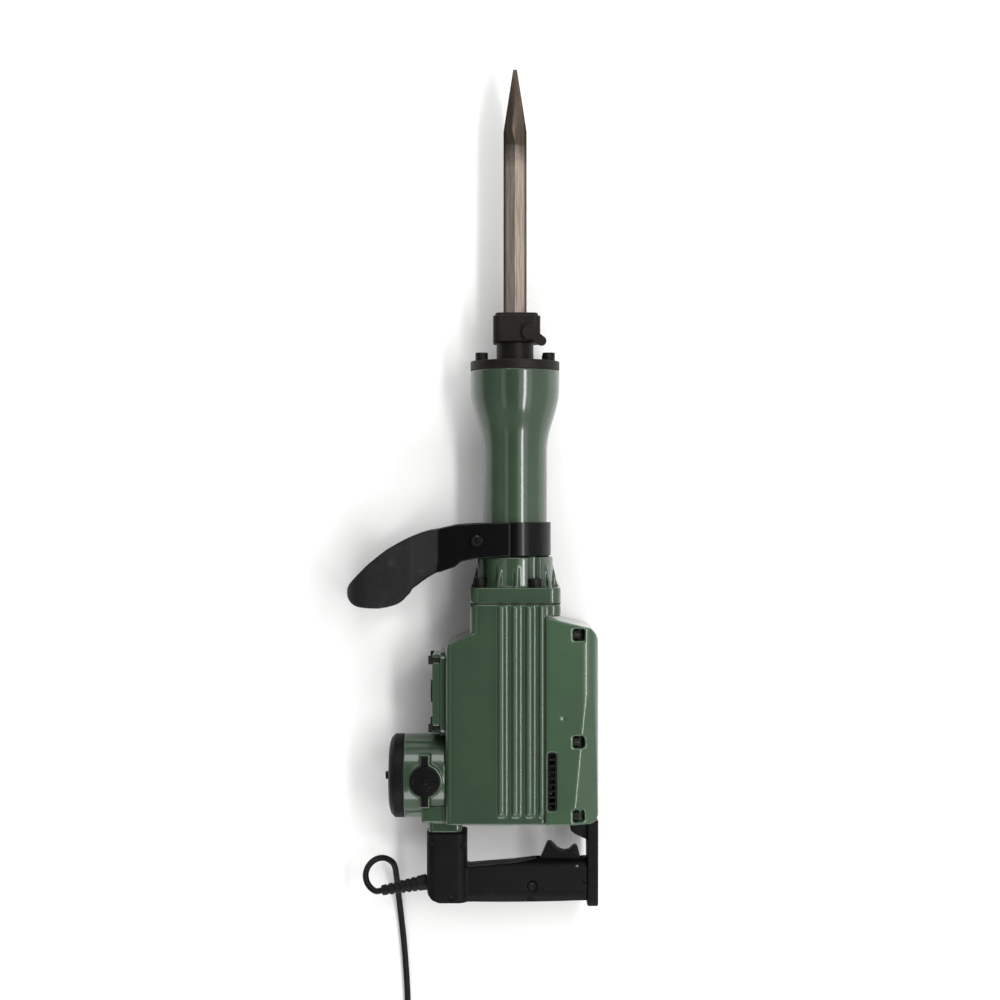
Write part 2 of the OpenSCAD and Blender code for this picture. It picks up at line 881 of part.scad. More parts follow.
module side_handle_strap() {
    color(black) difference() {
        intersection() {
            plate_z([-60, 60], concat([[60, strap_y[1]]], strap_side, [[60, strap_y[0]]]));
            on_barrel() translate([0, 0, 150]) linear_extrude(100) difference() {
                strap_bend(strap_out, 0);
                strap_bend(strap_in, 1);
            }
        }
        bar_z([-60, 60], 4 + seat, clamp_x, clamp_y);
        bar_y([180, step_y + 1.5], 49.7);
    }
}

// The strap's bend round the neck and its two straight legs, seen along the tool axis.
module strap_bend(r, past) {
    circle(r);
    translate([strap_end - past, -r]) square([past - strap_end, 2 * r]);
}

module side_handle_bolt() {
    color(oxide) {
        translate([clamp_x, clamp_y, axis_z + strap_out]) cap_screw(7, 7, 4, 2 * strap_out + 12);
        translate([clamp_x, clamp_y, axis_z - strap_out - 7]) difference() {
            cylinder(r = 7.5, h = 7, $fn = 6);
            translate([0, 0, -1]) cylinder(r = 4 + seat, h = 9);
        }
    }
}

// A smooth line of n steps between each pair of an outline's points.
function flowing(p, n) = concat([
    for (i = [0 : len(p) - 2], k = [0 : n - 1])
        flow(p[max(i - 1, 0)], p[i], p[i + 1], p[min(i + 2, len(p) - 1)], k / n)
], [p[len(p) - 1]]);

function flow(a, b, c, d, t) =
    b + t * (c - a) / 2 + t * t * (2 * a - 5 * b + 4 * c - d) / 2 + t * t * t * (3 * b - a - 3 * c + d) / 2;

module side_handle_loop() {
    mid = strap_in - 0.05;
    color(rubber) difference() {
        union() {
            intersection() {
                plate_z([-loop_half, loop_half], flowing(loop_side, 3));
                loop_plan(strap_end - 0.05, -216, 47, loop_half, 30);
            }
            plate_z([-mid, mid], concat([for (p = strap_side) if (p[0] < -20) p], [[-22, 193], [-22, 237]]));
            block([strap_end - 2, strap_end + 1], [178, 228], [-mid, mid]);
        }
        bar_y([180, step_y + 1.5], 49.7);
        loop_plan(-119, -187, 30, loop_half - 18, 22);
        bar_y([180, 250], neck_r + 0.7);
        bar_z([-60, 60], 4 + seat, clamp_x, clamp_y);
    }
}

// The loop seen along the tool axis: it widens from half_a at xa to half_b, with round far corners.
module loop_plan(xa, xb, half_a, half_b, r) {
    knee = xa - 34;
    translate([0, 100, axis_z]) rotate([-90, 0, 0]) linear_extrude(150) {
        polygon([[xa, -half_a], [xa, half_a], [knee, half_b], [xb + r, half_b], [xb + r, -half_b],
                 [knee, -half_b]]);
        for (side = [-1, 1]) translate([xb + r, side * (half_b - r)]) circle(r);
        translate([xb, -half_b + r]) square([r, 2 * (half_b - r)]);
    }
}

// ---- Rear handle ----

grip_outline = [
    [post_x[1] - 6, -208], [0, -202], [30, -197], [60, -196], [grip_end, -196], [grip_end, -250],
    [30, -252], [-20, -252.5], [post_x[1] - 6, -252]
];

// The outside of both half shells together.
module handle_form() {
    union() {
        intersection() {
            plate_z([-post_half, post_half], [
                [post_x[0], post_y[1]], [post_x[1], post_y[1]], [post_x[1], post_y[0]], [-98, post_y[0]],
                [-107, -248.5], [-112.5, -242.5], [post_x[0], -235]
            ]);
            pad_y(post_y, post_x[1] - post_x[0], 2 * post_half, 12, (post_x[0] + post_x[1]) / 2);
        }
        intersection() {
            plate_z([-grip_half, grip_half], grip_outline);
            pad_x([post_x[1] - 6, grip_end], 62, 2 * grip_half, 18, -227);
        }
    }
}

// What is taken out of both half shells: the wiring space, the slot of the trigger and the holes.
module handle_hollow() {
    block([-104, -71], [-238, -172], [-19, 19]);
    block([-72, 86], [-243, -214], [-14, 14]);
    block([28, 87], [-226, -190], [-9.5, 9.5]);
    translate([guard_from[0] + 6, guard_from[1] - 0.4, axis_z]) rotate([0, -90, 11])
        cylinder(r = 10.6, h = 10);
    bar_z([0, 40], 5.5 + run, lock_at[0], lock_at[1]);
    bar_z([-20, 20], 2, trigger_pivot[0], trigger_pivot[1]);
    for (at = handle_screw_at) {
        bar_z([-60, 60], 1.8, at[0], at[1]);
        bar_z([at[2] - 5, 60], 3.7, at[0], at[1]);
    }
}

// The screws that hold the two half shells together: X, Y and the half thickness there.
handle_screw_at = [
    [-109, -176, post_half], [-66.5, -178, post_half], [-84, -245, post_half], [20, -247.5, grip_half],
    [89, -224, grip_half]
];

module handle_shell_near() {
    color(black) difference() {
        intersection() {
            handle_form();
            block([-130, 110], [-270, -150], [0, 40]);
        }
        handle_hollow();
    }
}

module handle_shell_far() {
    color(black) difference() {
        intersection() {
            handle_form();
            block([-130, 110], [-270, -150], [-40, 0]);
        }
        handle_hollow();
    }
}

module handle_screws() {
    color(oxide) for (at = handle_screw_at) {
        translate([at[0], at[1], axis_z + at[2] - 5]) cap_screw(3.6, 3, 1.8, 22);
    }
}

module handle_end_bar() {
    color(black) difference() {
        union() {
            pad_x([grip_end, grip_end + 14], 106, 48, 9, -205);
            plate_z([-20, 20], [
                [71.5, case_bottom], [71.5, -160], [76, -163.5], [81, -166.5], [grip_end + 1, -172],
                [grip_end + 10, -172], [grip_end + 10, case_bottom]
            ]);
            block([grip_end, grip_end + 14], [-175, case_bottom], [-24, 24]);
        }
        block([grip_end - 0.5, grip_end + 20], [case_bottom, -120], [-40, 40]);
    }
}

module trigger() {
    color(rubber) difference() {
        plate_z([-9, 9], [
            [34, -212], [33, -198], [41.5, -178], [44.5, -176.5], [48, -177.5], [56, -185.5], [63, -188.5],
            [70, -187.5], [75, -182.5], [78, -181], [81, -182.5], [85, -198], [85, -211]
        ]);
        bar_z([-10, 10], 2 + run, trigger_pivot[0], trigger_pivot[1]);
    }
}

module trigger_pin() {
    color(steel) bar_z([-20, 20], 2, trigger_pivot[0], trigger_pivot[1]);
}

module lock_button() {
    color(rubber) {
        bar_z([12, grip_half + 3], 5.5, lock_at[0], lock_at[1]);
        bar_z([10, 12 + eps], 7, lock_at[0], lock_at[1]);
    }
}

module switch_body() {
    color(black) {
        block([34, 78], [-243, -224], [-13, 13]);
        block([50, 56], [-224 - eps, -221], [-3, 3]);
    }
}

// ---- Cord ----

guard_a = atan2(guard_to[1] - guard_from[1], guard_to[0] - guard_from[0]);
guard_l = norm(guard_to - guard_from);

module cord_guard() {
    color(rubber) translate([guard_from[0], guard_from[1], axis_z]) rotate([0, 90, guard_a]) {
        cylinder(r1 = 10.4, r2 = cord_r + 2.6, h = guard_l);
        translate([0, 0, -5]) cylinder(r = 9, h = 6);
    }
}

// Unit vector along v.
function unit(v) = v / norm(v);

// Direction of the route at point i.
function heading(p, i) = unit(p[min(i + 1, len(p) - 1)] - p[max(i - 1, 0)]);

// A ring of the tube round point i, square to the route.
function ring(p, i, sides, r) =
    let (t = heading(p, i), a = unit(cross(t, abs(t[2]) > 0.9 ? [1, 0, 0] : [0, 0, 1])), b = cross(a, t))
        [for (k = [0 : sides - 1]) p[i] + r * (cos(360 * k / sides) * a + sin(360 * k / sides) * b)];

// A closed tube along a route.
module tube(p, r, sides = 10) {
    n = len(p);
    points = [for (i = [0 : n - 1]) each ring(p, i, sides, r)];
    sides_of = [
        for (i = [0 : n - 2], k = [0 : sides - 1])
            let (k2 = (k + 1) % sides) [i * sides + k, i * sides + k2, (i + 1) * sides + k2, (i + 1) * sides + k]
    ];
    start = [for (k = [sides - 1 : -1 : 0]) k];
    end = [for (k = [0 : sides - 1]) (n - 1) * sides + k];
    polyhedron(points, concat(sides_of, [start], [end]));
}

module cord() {
    color(rubber) tube(cord_route, cord_r);
}

module cord_coil() {
    color(rubber) translate([coil_at[0], coil_at[1], 0.2]) rotate_extrude()
        translate([coil_r - coil_w / 2, 0]) square([coil_w, coil_h]);
}

// Where the plug's sleeve leaves the coil, on the coil's far side.
coil_outer = coil_r + coil_w / 2;
plug_y = coil_at[1] - coil_r - cord_d;
plug_x = coil_at[0] + sqrt(pow(coil_outer, 2) - pow(coil_r + cord_d, 2));
plug_z = floor_z + cord_d;
plug_r = 17;

module mains_plug() {
    color(rubber) translate([plug_x, plug_y, 0]) {
        translate([0, 0, plug_z]) rotate([0, 90, 0]) cylinder(r1 = cord_r + 0.5, r2 = 8, h = 26);
        translate([26, 0, 0]) intersection() {
            translate([0, 0, 13]) rotate([0, 90, 0]) cylinder(r = plug_r, h = 30);
            translate([0, -14, 0]) cube([30, 28, 26]);
        }
        translate([50, 0, 0]) intersection() {
            translate([0, 0, 13]) rotate([0, 90, 0]) cylinder(r = 20, h = 6);
            translate([0, -18, 0]) cube([6, 36, 26]);
        }
    }
}

module plug_pins() {
    color(brass) for (y = [-9.5, 9.5]) {
        translate([plug_x + 56, plug_y + y, 13]) rotate([0, 90, 0]) cylinder(r = 2.4, h = 19);
    }
}

// ---- Which node to draw ----

front_cover();
front_cover_bolts();
cylinder_case();
cylinder_case_bolts();
cylinder_gasket();
crank_case();
gear_cover();
gear_cover_gasket();
gear_cover_screws();
crank_cover();
crank_cover_bolts();
sight_glass_bezel();
oil_sight_glass();
motor_housing();
tail_cover();
tail_cover_screw();
brush_caps();
brush_cap_bars();
brush_holders();
carbon_brushes();
stator_core();
field_coils();
armature_bearings();
gear_bearings();
cylinder_liner();
impact_sleeve();
damper_ring();
vent_grilles();
handle_shell_near();
handle_shell_far();
handle_end_bar();
handle_screws();
trigger_pin();
switch_body();
cord_guard();
cord();
cord_coil();
mains_plug();
plug_pins();
chisel();
retainer_lever();
side_handle_loop();
side_handle_strap();
side_handle_bolt();
trigger();
lock_button();
armature_shaft();
armature_core();
commutator();
cooling_fan();
idler_shaft();
idler_gear();
crankshaft();
crank_gear();
connecting_rod();
piston();
piston_pin();
piston_ring();
striker();
impact_bolt();
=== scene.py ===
"""Looks of an electric breaker: its castings, grips, chisel and lead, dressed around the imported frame.

Every sub-assembly is a class with its sizes in millimetres as fields. Lengths turn into metres at
the last step, and each piece rides on the body of the solid that it stands for.
"""

import logging
import math
from collections.abc import Callable, Iterable, Sequence
from dataclasses import dataclass
from enum import Enum

import bmesh
import bpy
import numpy as np
from mathutils import Matrix, Vector


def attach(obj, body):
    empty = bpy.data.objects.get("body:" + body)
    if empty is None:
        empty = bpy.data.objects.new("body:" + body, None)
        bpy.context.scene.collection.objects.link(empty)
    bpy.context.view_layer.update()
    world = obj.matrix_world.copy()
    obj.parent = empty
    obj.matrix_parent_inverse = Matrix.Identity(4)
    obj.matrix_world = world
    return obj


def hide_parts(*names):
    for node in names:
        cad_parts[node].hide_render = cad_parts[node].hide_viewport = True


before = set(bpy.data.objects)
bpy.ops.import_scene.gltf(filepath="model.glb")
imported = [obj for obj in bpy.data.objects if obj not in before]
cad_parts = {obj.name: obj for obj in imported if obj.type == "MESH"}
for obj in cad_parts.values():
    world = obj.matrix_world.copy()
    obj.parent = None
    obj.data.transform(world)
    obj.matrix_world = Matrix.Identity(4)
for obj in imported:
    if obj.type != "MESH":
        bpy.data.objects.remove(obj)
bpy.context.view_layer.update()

MM = 0.001
AXIS_Z = 65.0
Point = tuple[float, float, float]
Flat = tuple[float, float]
Piece = bpy.types.Object
Tree = bpy.types.NodeTree
Socket = bpy.types.NodeSocket

log = logging.getLogger("breaker")


class Along(Enum):
    """The direction in which an outline is extruded, or the axis that a form is turned about."""

    X = 0
    Y = 1
    Z = 2


class Body(str, Enum):
    """The moving bodies that pieces ride on."""

    CASING = "casing"
    CHISEL = "chisel"
    RETAINER = "retainer"
    SIDE_HANDLE = "side_handle"
    TRIGGER = "trigger"
    LOCK_BUTTON = "lock_button"


# ---- Shader nodes -----------------------------------------------------------------------------


def linear(code: str) -> tuple[float, float, float, float]:
    """Turns an sRGB hex colour into linear light.

    Args:
        code: The colour as "#rrggbb".

    Returns:
        Red, green, blue and an alpha of one.
    """
    parts = [int(code[i : i + 2], 16) / 255 for i in (1, 3, 5)]
    light = [c / 12.92 if c <= 0.04045 else ((c + 0.055) / 1.055) ** 2.4 for c in parts]
    return (light[0], light[1], light[2], 1.0)


def per_mm(size: float) -> float:
    """The texture scale, in metre coordinates, at which one feature is this many millimetres."""
    return 1.0 / (size * MM)


def add_node(tree: Tree, kind: str, links: dict | None = None, **settings) -> bpy.types.Node:
    """Adds one shader node with its settings and its inputs.

    Args:
        tree: The node tree that takes the node.
        kind: The node's type name, without the ShaderNode prefix.
        links: Input name or number to a value, or to the output socket that feeds it.
        settings: Attributes of the node; stops, for a colour ramp, is a list of (place, hex).

    Returns:
        The new node.
    """
    made = tree.nodes.new("ShaderNode" + kind)
    for place, (at, code) in enumerate(settings.pop("stops", [])):
        ramp = made.color_ramp.elements
        stop = ramp[place] if place < 2 else ramp.new(at)
        stop.position, stop.color = at, linear(code)
    for name, value in settings.items():
        setattr(made, name, value)
    for name, value in (links or {}).items():
        if isinstance(value, Socket):
            tree.links.new(value, made.inputs[name])
        else:
            made.inputs[name].default_value = value
    return made


# ---- Finishes ---------------------------------------------------------------------------------


@dataclass(frozen=True)
class Finish:
    """A real material with the way its surface was made; a subclass paints its own pattern."""

    name: str
    slot: str
    colour: str
    shade: str
    roughness: float
    metallic: float = 0.0
    ior: float = 1.5
    coat: float = 0.0
    coat_roughness: float = 0.1
    gloss: float = 0.5

    def material(self) -> bpy.types.Material:
        """Makes the material, or finds it if it is made already.

        Returns:
            The node material of this finish.
        """
        made = bpy.data.materials.get(self.name)
        if made:
            return made
        made = bpy.data.materials.new(self.name)
        made.use_nodes = True
        made.diffuse_color = linear(self.colour)
        tree = made.node_tree
        shader = tree.nodes["Principled BSDF"]
        shader.inputs["Roughness"].default_value = self.roughness
        shader.inputs["Metallic"].default_value = self.metallic
        if not self.metallic:
            shader.inputs["IOR"].default_value = self.ior
        shader.inputs["Specular IOR Level"].default_value = self.gloss
        shader.inputs["Coat Weight"].default_value = self.coat
        shader.inputs["Coat Roughness"].default_value = self.coat_roughness
        where = add_node(tree, "TexCoord").outputs["Object"]
        for name, socket in self.pattern(tree, where).items():
            tree.links.new(socket, shader.inputs[name])
        return made

    def uneven(self, tree: Tree, spots: Socket, less: float, more: float) -> Socket:
        """Makes the gloss vary over the surface.

        Args:
            tree: The material's node tree.
            spots: The pattern that it varies with, from 0 to 1.
            less: How far the roughness falls below the finish's own.
            more: How far it rises above it.

        Returns:
            The roughness.
        """
        ends = {"To Min": self.roughness - less, "To Max": self.roughness + more}
        return add_node(tree, "MapRange", {"Value": spots, **ends}).outputs[0]

    def pattern(self, tree: Tree, where: Socket) -> dict[str, Socket]:
        """Paints the surface.

        Args:
            tree: The material's node tree.
            where: Object coordinates in metres.

        Returns:
            The output socket for each shader input that the pattern drives.
        """
        raise NotImplementedError


@dataclass(frozen=True)
class SprayedEnamel(Finish):
    """Gloss enamel sprayed on sand-cast aluminium: the casting's slow waves show under a hard,
    clear gloss with a faint orange peel; the paint is drawn paler along proud edges, and the rib
    crests furthest from the axis carry a painted highlight that stands in for the light on them."""

    peel_mm: float = 3.2
    cast_mm: float = 11.0
    drift_mm: float = 70.0
    edge: str = "#56795a"
    # Painted highlight: the paler colour of the rib crests, standing in for the light they catch.
    painted_crest_highlight: str = "#344c36"
    painted_crest_highlight_at: Flat = (62.6, 64.2)

    def pattern(self, tree: Tree, where: Socket) -> dict[str, Socket]:
        """Slow colour drift, paler edges, a painted highlight on the rib crests and two depths of waviness.

        Args:
            tree: The material's node tree.
            where: Object coordinates in metres.

        Returns:
            Sockets for base colour, roughness and normal.
        """
        drift = add_node(tree, "TexNoise", {"Vector": where, "Scale": per_mm(self.drift_mm), "Detail": 3.0})
        film = add_node(
            tree, "ValToRGB", {"Fac": drift.outputs["Fac"]}, stops=[(0.35, self.colour), (0.65, self.shade)]
        )
        proud = add_node(tree, "NewGeometry").outputs["Pointiness"]
        rub = add_node(
            tree, "TexNoise", {"Vector": where, "Scale": per_mm(7.0), "Detail": 4.0, "Roughness": 0.7}
        )
        worn = add_node(tree, "Math", {0: rub.outputs["Fac"], 1: 0.06, 2: proud}, operation="MULTIPLY_ADD")
        edge = add_node(
            tree, "MapRange", {"Value": worn.outputs[0], "From Min": 0.56, "From Max": 0.66, "To Max": 0.5}
        )
        # Painted highlight: surfaces this far from the axis, the rib crests, are painted paler.
        height = add_node(tree, "SeparateXYZ", {0: where}).outputs["Z"]
        above = add_node(tree, "Math", {0: height, 1: AXIS_Z * MM}, operation="SUBTRACT")
        away = add_node(tree, "Math", {0: above.outputs[0]}, operation="ABSOLUTE")
        low, high = self.painted_crest_highlight_at
        crest_highlight_mask = add_node(
            tree, "MapRange", {"Value": away.outputs[0], "From Min": low * MM, "From Max": high * MM}
        )
        crest_highlight_film = add_node(
            tree,
            "Mix",
            {0: crest_highlight_mask.outputs[0], 6: film.outputs["Color"], 7: linear(self.painted_crest_highlight)},
            data_type="RGBA",
        )
        paint = add_node(
            tree,
            "Mix",
            {0: edge.outputs[0], 6: crest_highlight_film.outputs[2], 7: linear(self.edge)},
            data_type="RGBA",
        )
        cast = add_node(tree, "TexNoise", {"Vector": where, "Scale": per_mm(self.cast_mm), "Detail": 2.0})
        waves = add_node(
            tree, "Bump", {"Height": cast.outputs["Fac"], "Strength": 0.35, "Distance": 0.6 * MM}
        )
        peel = add_node(tree, "TexNoise", {"Vector": where, "Scale": per_mm(self.peel_mm), "Detail": 1.0})
        skin = add_node(
            tree,
            "Bump",
            {
                "Height": peel.outputs["Fac"],
                "Strength": 0.3,
                "Distance": 0.12 * MM,
                "Normal": waves.outputs[0],
            },
        )
        dull = self.uneven(tree, rub.outputs["Fac"], 0.05, 0.07)
        return {"Base Color": paint.outputs[2], "Roughness": dull, "Normal": skin.outputs[0]}


@dataclass(frozen=True)
class SootyIron(Finish):
    """Iron or steel blackened in hot oxide and left oiled: nearly black, satin, with a brown cast
    and the grit of the forging under it, and bright only where edges rub."""

    grit_mm: float = 1.6
    rub: str = "#6d675f"

    def pattern(self, tree: Tree, where: Socket) -> dict[str, Socket]:
        """Blotches of oxide, rubbed edges and forging grit.

        Args:
            tree: The material's node tree.
            where: Object coordinates in metres.

        Returns:
            Sockets for base colour, roughness and normal.
        """
        blotch = add_node(
            tree, "TexNoise", {"Vector": where, "Scale": per_mm(9.0), "Detail": 6.0, "Roughness": 0.62}
        )
        oxide = add_node(
            tree, "ValToRGB", {"Fac": blotch.outputs["Fac"]}, stops=[(0.32, self.colour), (0.7, self.shade)]
        )
        proud = add_node(tree, "NewGeometry").outputs["Pointiness"]
        edge = add_node(
            tree, "MapRange", {"Value": proud, "From Min": 0.53, "From Max": 0.62, "To Max": 0.5}
        )
        skin = add_node(
            tree,
            "Mix",
            {0: edge.outputs[0], 6: oxide.outputs["Color"], 7: linear(self.rub)},
            data_type="RGBA",
        )
        grit = add_node(tree, "TexNoise", {"Vector": where, "Scale": per_mm(self.grit_mm), "Detail": 3.0})
        bump = add_node(
            tree, "Bump", {"Height": grit.outputs["Fac"], "Strength": 0.45, "Distance": 0.25 * MM}
        )
        dull = self.uneven(tree, blotch.outputs["Fac"], 0.1, 0.12)
        return {"Base Color": skin.outputs[2], "Roughness": dull, "Normal": bump.outputs[0]}


@dataclass(frozen=True)
class DrawnSteel(Finish):
    """Hexagon bar, drawn and ground: soft silver grey with fine lines along the bar, and the
    forged point browned by the heat of hardening."""

    line_mm: float = 1.3
    heat: str = "#3d3128"
    heat_from: float = 722.0
    heat_to: float = 752.0
    # The scale colour is painted shade, laid on the side flats.
    scale: str = "#3b3733"
    side_shade_from: float = 10.8

    def pattern(self, tree: Tree, where: Socket) -> dict[str, Socket]:
        """Lines along the bar, handling stains, painted shade on the side flats and the heat colour towards
        the point.

        Args:
            tree: The material's node tree.
            where: Object coordinates in metres.

        Returns:
            Sockets for base colour, roughness and normal.
        """
        drawn = add_node(tree, "Mapping", {"Vector": where, "Scale": (1.0, 0.03, 1.0)})
        lines = add_node(
            tree,
            "TexNoise",
            {"Vector": drawn.outputs[0], "Scale": per_mm(self.line_mm), "Detail": 4.0, "Roughness": 0.6},
        )
        tone = add_node(
            tree, "ValToRGB", {"Fac": lines.outputs["Fac"]}, stops=[(0.3, self.shade), (0.62, self.colour)]
        )
        stain = add_node(
            tree, "TexNoise", {"Vector": where, "Scale": per_mm(26.0), "Detail": 5.0, "Roughness": 0.6}
        )
        split = add_node(tree, "SeparateXYZ", {0: where})
        ragged = add_node(
            tree,
            "Math",
            {0: stain.outputs["Fac"], 1: 0.05, 2: split.outputs["Y"]},
            operation="MULTIPLY_ADD",
        )
        hot = add_node(
            tree,
            "MapRange",
            {
                "Value": ragged.outputs[0],
                "From Min": self.heat_from * MM,
                "From Max": self.heat_to * MM,
                "To Max": 0.86,
            },
        )
        # Painted shade: the bar is darkened away from its top centre, on the side flats.
        side = add_node(tree, "Math", {0: split.outputs["X"]}, operation="ABSOLUTE")
        flank = add_node(
            tree,
            "MapRange",
            {
                "Value": side.outputs[0],
                "From Min": self.side_shade_from * MM,
                "From Max": (self.side_shade_from + 2.2) * MM,
                "To Max": 0.8,
            },
        )
        bar = add_node(
            tree,
            "Mix",
            {0: flank.outputs[0], 6: tone.outputs["Color"], 7: linear(self.scale)},
            data_type="RGBA",
        )
        skin = add_node(
            tree, "Mix", {0: hot.outputs[0], 6: bar.outputs[2], 7: linear(self.heat)}, data_type="RGBA"
        )
        dull = self.uneven(tree, stain.outputs["Fac"], 0.08, 0.1)
        bump = add_node(
            tree, "Bump", {"Height": lines.outputs["Fac"], "Strength": 0.25, "Distance": 0.08 * MM}
        )
        return {"Base Color": skin.outputs[2], "Roughness": dull, "Normal": bump.outputs[0]}


@dataclass(frozen=True)
class TurnedMetal(Finish):
    """Metal turned, ground or die-cast and left bare: fine tool lines round its axis and a thin
    film of grease that darkens it in patches."""

    line_mm: float = 0.9
    stretch: Point = (1.0, 0.08, 0.08)

    def pattern(self, tree: Tree, where: Socket) -> dict[str, Socket]:
        """Tool lines and patches of grease.

        Args:
            tree: The material's node tree.
            where: Object coordinates in metres.

        Returns:
            Sockets for base colour, roughness and normal.
        """
        turned = add_node(tree, "Mapping", {"Vector": where, "Scale": self.stretch})
        lines = add_node(
            tree, "TexNoise", {"Vector": turned.outputs[0], "Scale": per_mm(self.line_mm), "Detail": 2.0}
        )
        grease = add_node(tree, "TexNoise", {"Vector": where, "Scale": per_mm(17.0), "Detail": 4.0})
        tone = add_node(
            tree,
            "ValToRGB",
            {"Fac": grease.outputs["Fac"]},
            stops=[(0.35, self.colour), (0.68, self.shade)],
        )
        dull = self.uneven(tree, grease.outputs["Fac"], 0.08, 0.1)
        bump = add_node(
            tree, "Bump", {"Height": lines.outputs["Fac"], "Strength": 0.3, "Distance": 0.06 * MM}
        )
        return {"Base Color": tone.outputs["Color"], "Roughness": dull, "Normal": bump.outputs[0]}


@dataclass(frozen=True)
class MouldedPolymer(Finish):
    """Nylon or rubber from a spark-eroded mould: an even dull black with a fine pebble that breaks
    the light up, a little greyer where hands and ground have scuffed it."""

    pebble_mm: float = 1.5
    pebble_depth_mm: float = 0.1
    scuff: str = "#3a3937"

    def pattern(self, tree: Tree, where: Socket) -> dict[str, Socket]:
        """Pebbled skin with scuffed patches. The pebble is drawn coarser than life so that it shows.

        Args:
            tree: The material's node tree.
            where: Object coordinates in metres.

        Returns:
            Sockets for base colour, roughness and normal.
        """
        cells = add_node(
            tree, "TexVoronoi", {"Vector": where, "Scale": per_mm(self.pebble_mm), "Randomness": 0.9}
        )
        patch = add_node(
            tree, "TexNoise", {"Vector": where, "Scale": per_mm(24.0), "Detail": 6.0, "Roughness": 0.66}
        )
        tone = add_node(
            tree,
            "ValToRGB",
            {"Fac": patch.outputs["Fac"]},
            stops=[(0.4, self.colour), (0.6, self.shade), (0.74, self.scuff)],
        )
        bump = add_node(
            tree,
            "Bump",
            {"Height": cells.outputs["Distance"], "Strength": 0.7, "Distance": self.pebble_depth_mm * MM},
            invert=True,
        )
        dull = self.uneven(tree, patch.outputs["Fac"], 0.08, 0.1)
        return {"Base Color": tone.outputs["Color"], "Roughness": dull, "Normal": bump.outputs[0]}


@dataclass(frozen=True)
class Lacquer(Finish):
    """Black lacquer stoved on pressed steel strip: a deep wet gloss with a slight ripple and hair
    scratches round the clamp."""

    def pattern(self, tree: Tree, where: Socket) -> dict[str, Socket]:
        """Ripple in the gloss and hair scratches.

        Args:
            tree: The material's node tree.
            where: Object coordinates in metres.

        Returns:
            Sockets for base colour, roughness and normal.
        """
        ripple = add_node(tree, "TexNoise", {"Vector": where, "Scale": per_mm(6.0), "Detail": 2.0})
        drawn = add_node(
            tree, "Mapping", {"Vector": where, "Scale": (1.0, 0.12, 1.0), "Rotation": (0.0, 0.0, 1.2)}
        )
        hair = add_node(
            tree,
            "TexNoise",
            {"Vector": drawn.outputs[0], "Scale": per_mm(1.4), "Detail": 5.0, "Roughness": 0.7},
        )
        tone = add_node(
            tree, "ValToRGB", {"Fac": hair.outputs["Fac"]}, stops=[(0.55, self.colour), (0.8, self.shade)]
        )
        dull = self.uneven(tree, hair.outputs["Fac"], 0.06, 0.12)
        bump = add_node(
            tree, "Bump", {"Height": ripple.outputs["Fac"], "Strength": 0.3, "Distance": 0.2 * MM}
        )
        return {"Base Color": tone.outputs["Color"], "Roughness": dull, "Normal": bump.outputs[0]}


@dataclass(frozen=True)
class PressedSheet(Finish):
    """Gasket board, carbon or stacked laminations: matt, with a fine fibre or layer line."""

    layer_mm: float = 0.8
    stretch: Point = (1.0, 1.0, 1.0)

    def pattern(self, tree: Tree, where: Socket) -> dict[str, Socket]:
        """Fibre or layer lines, in colour and in relief.

        Args:
            tree: The material's node tree.
            where: Object coordinates in metres.

        Returns:
            Sockets for base colour and normal.
        """
        laid = add_node(tree, "Mapping", {"Vector": where, "Scale": self.stretch})
        fibre = add_node(
            tree,
            "TexNoise",
            {"Vector": laid.outputs[0], "Scale": per_mm(self.layer_mm), "Detail": 5.0, "Roughness": 0.7},
        )
        tone = add_node(
            tree, "ValToRGB", {"Fac": fibre.outputs["Fac"]}, stops=[(0.35, self.colour), (0.65, self.shade)]
        )
        bump = add_node(
            tree, "Bump", {"Height": fibre.outputs["Fac"], "Strength": 0.4, "Distance": 0.1 * MM}
        )
        return {"Base Color": tone.outputs["Color"], "Normal": bump.outputs[0]}


# Hard, wet green gloss that mirrors the lights in soft bands along the castings.
GREEN_ENAMEL = SprayedEnamel(
    "green_enamel_sprayed_on_cast_aluminium",
    "green_enamel",
    "#233624",
    "#283d29",
    0.42,
    coat=1.0,
    coat_roughness=0.12,
    gloss=0.25,
)
# The same enamel painted a shade lighter for the gear cover: painted light, for the brighter light that
# falls on it.
COVER_ENAMEL_PAINTED_LIGHTER = SprayedEnamel(
    "green_enamel_painted_lighter_for_gear_cover",
    "green_enamel",
    "#2d452f",
    "#324b34",
    0.42,
    coat=1.0,
    coat_roughness=0.12,
    gloss=0.25,
)
# Brown-black satin that shows only dim, broad reflections on the forgings.
BLACK_OXIDE = SootyIron(
    "black_oxide_on_forged_steel", "blackened_steel", "#100e0b", "#191612", 0.5, metallic=0.3, gloss=0.25
)
# Blacker and finer than the forgings, so the screw heads read as dark dots.
BOLT_OXIDE = SootyIron(
    "black_oxide_on_rolled_bolts",
    "blackened_steel",
    "#0c0b0a",
    "#141312",
    0.45,
    metallic=0.3,
    gloss=0.15,
    grit_mm=0.9,
)
# Bright, lined silver on the upper flats, painted shade in dark grey on the side flats, brown at the point.
CHISEL_STEEL = DrawnSteel(
    "drawn_and_ground_tool_steel", "chisel_steel", "#c0b3a5", "#8a7f74", 0.3, metallic=1.0
)
# Clean mirror-like steel under an oil film, inside the tool.
GROUND_STEEL = TurnedMetal(
    "ground_and_oiled_steel", "machined_steel", "#b9b7b2", "#8a8780", 0.28, metallic=1.0
)
# Deep black with one narrow highlight round the clamp.
STRAP_LACQUER = Lacquer(
    "stoved_black_lacquer_on_strip_steel",
    "black_lacquer",
    "#030303",
    "#080707",
    0.3,
    coat=0.2,
    coat_roughness=0.12,
    gloss=0.1,
)
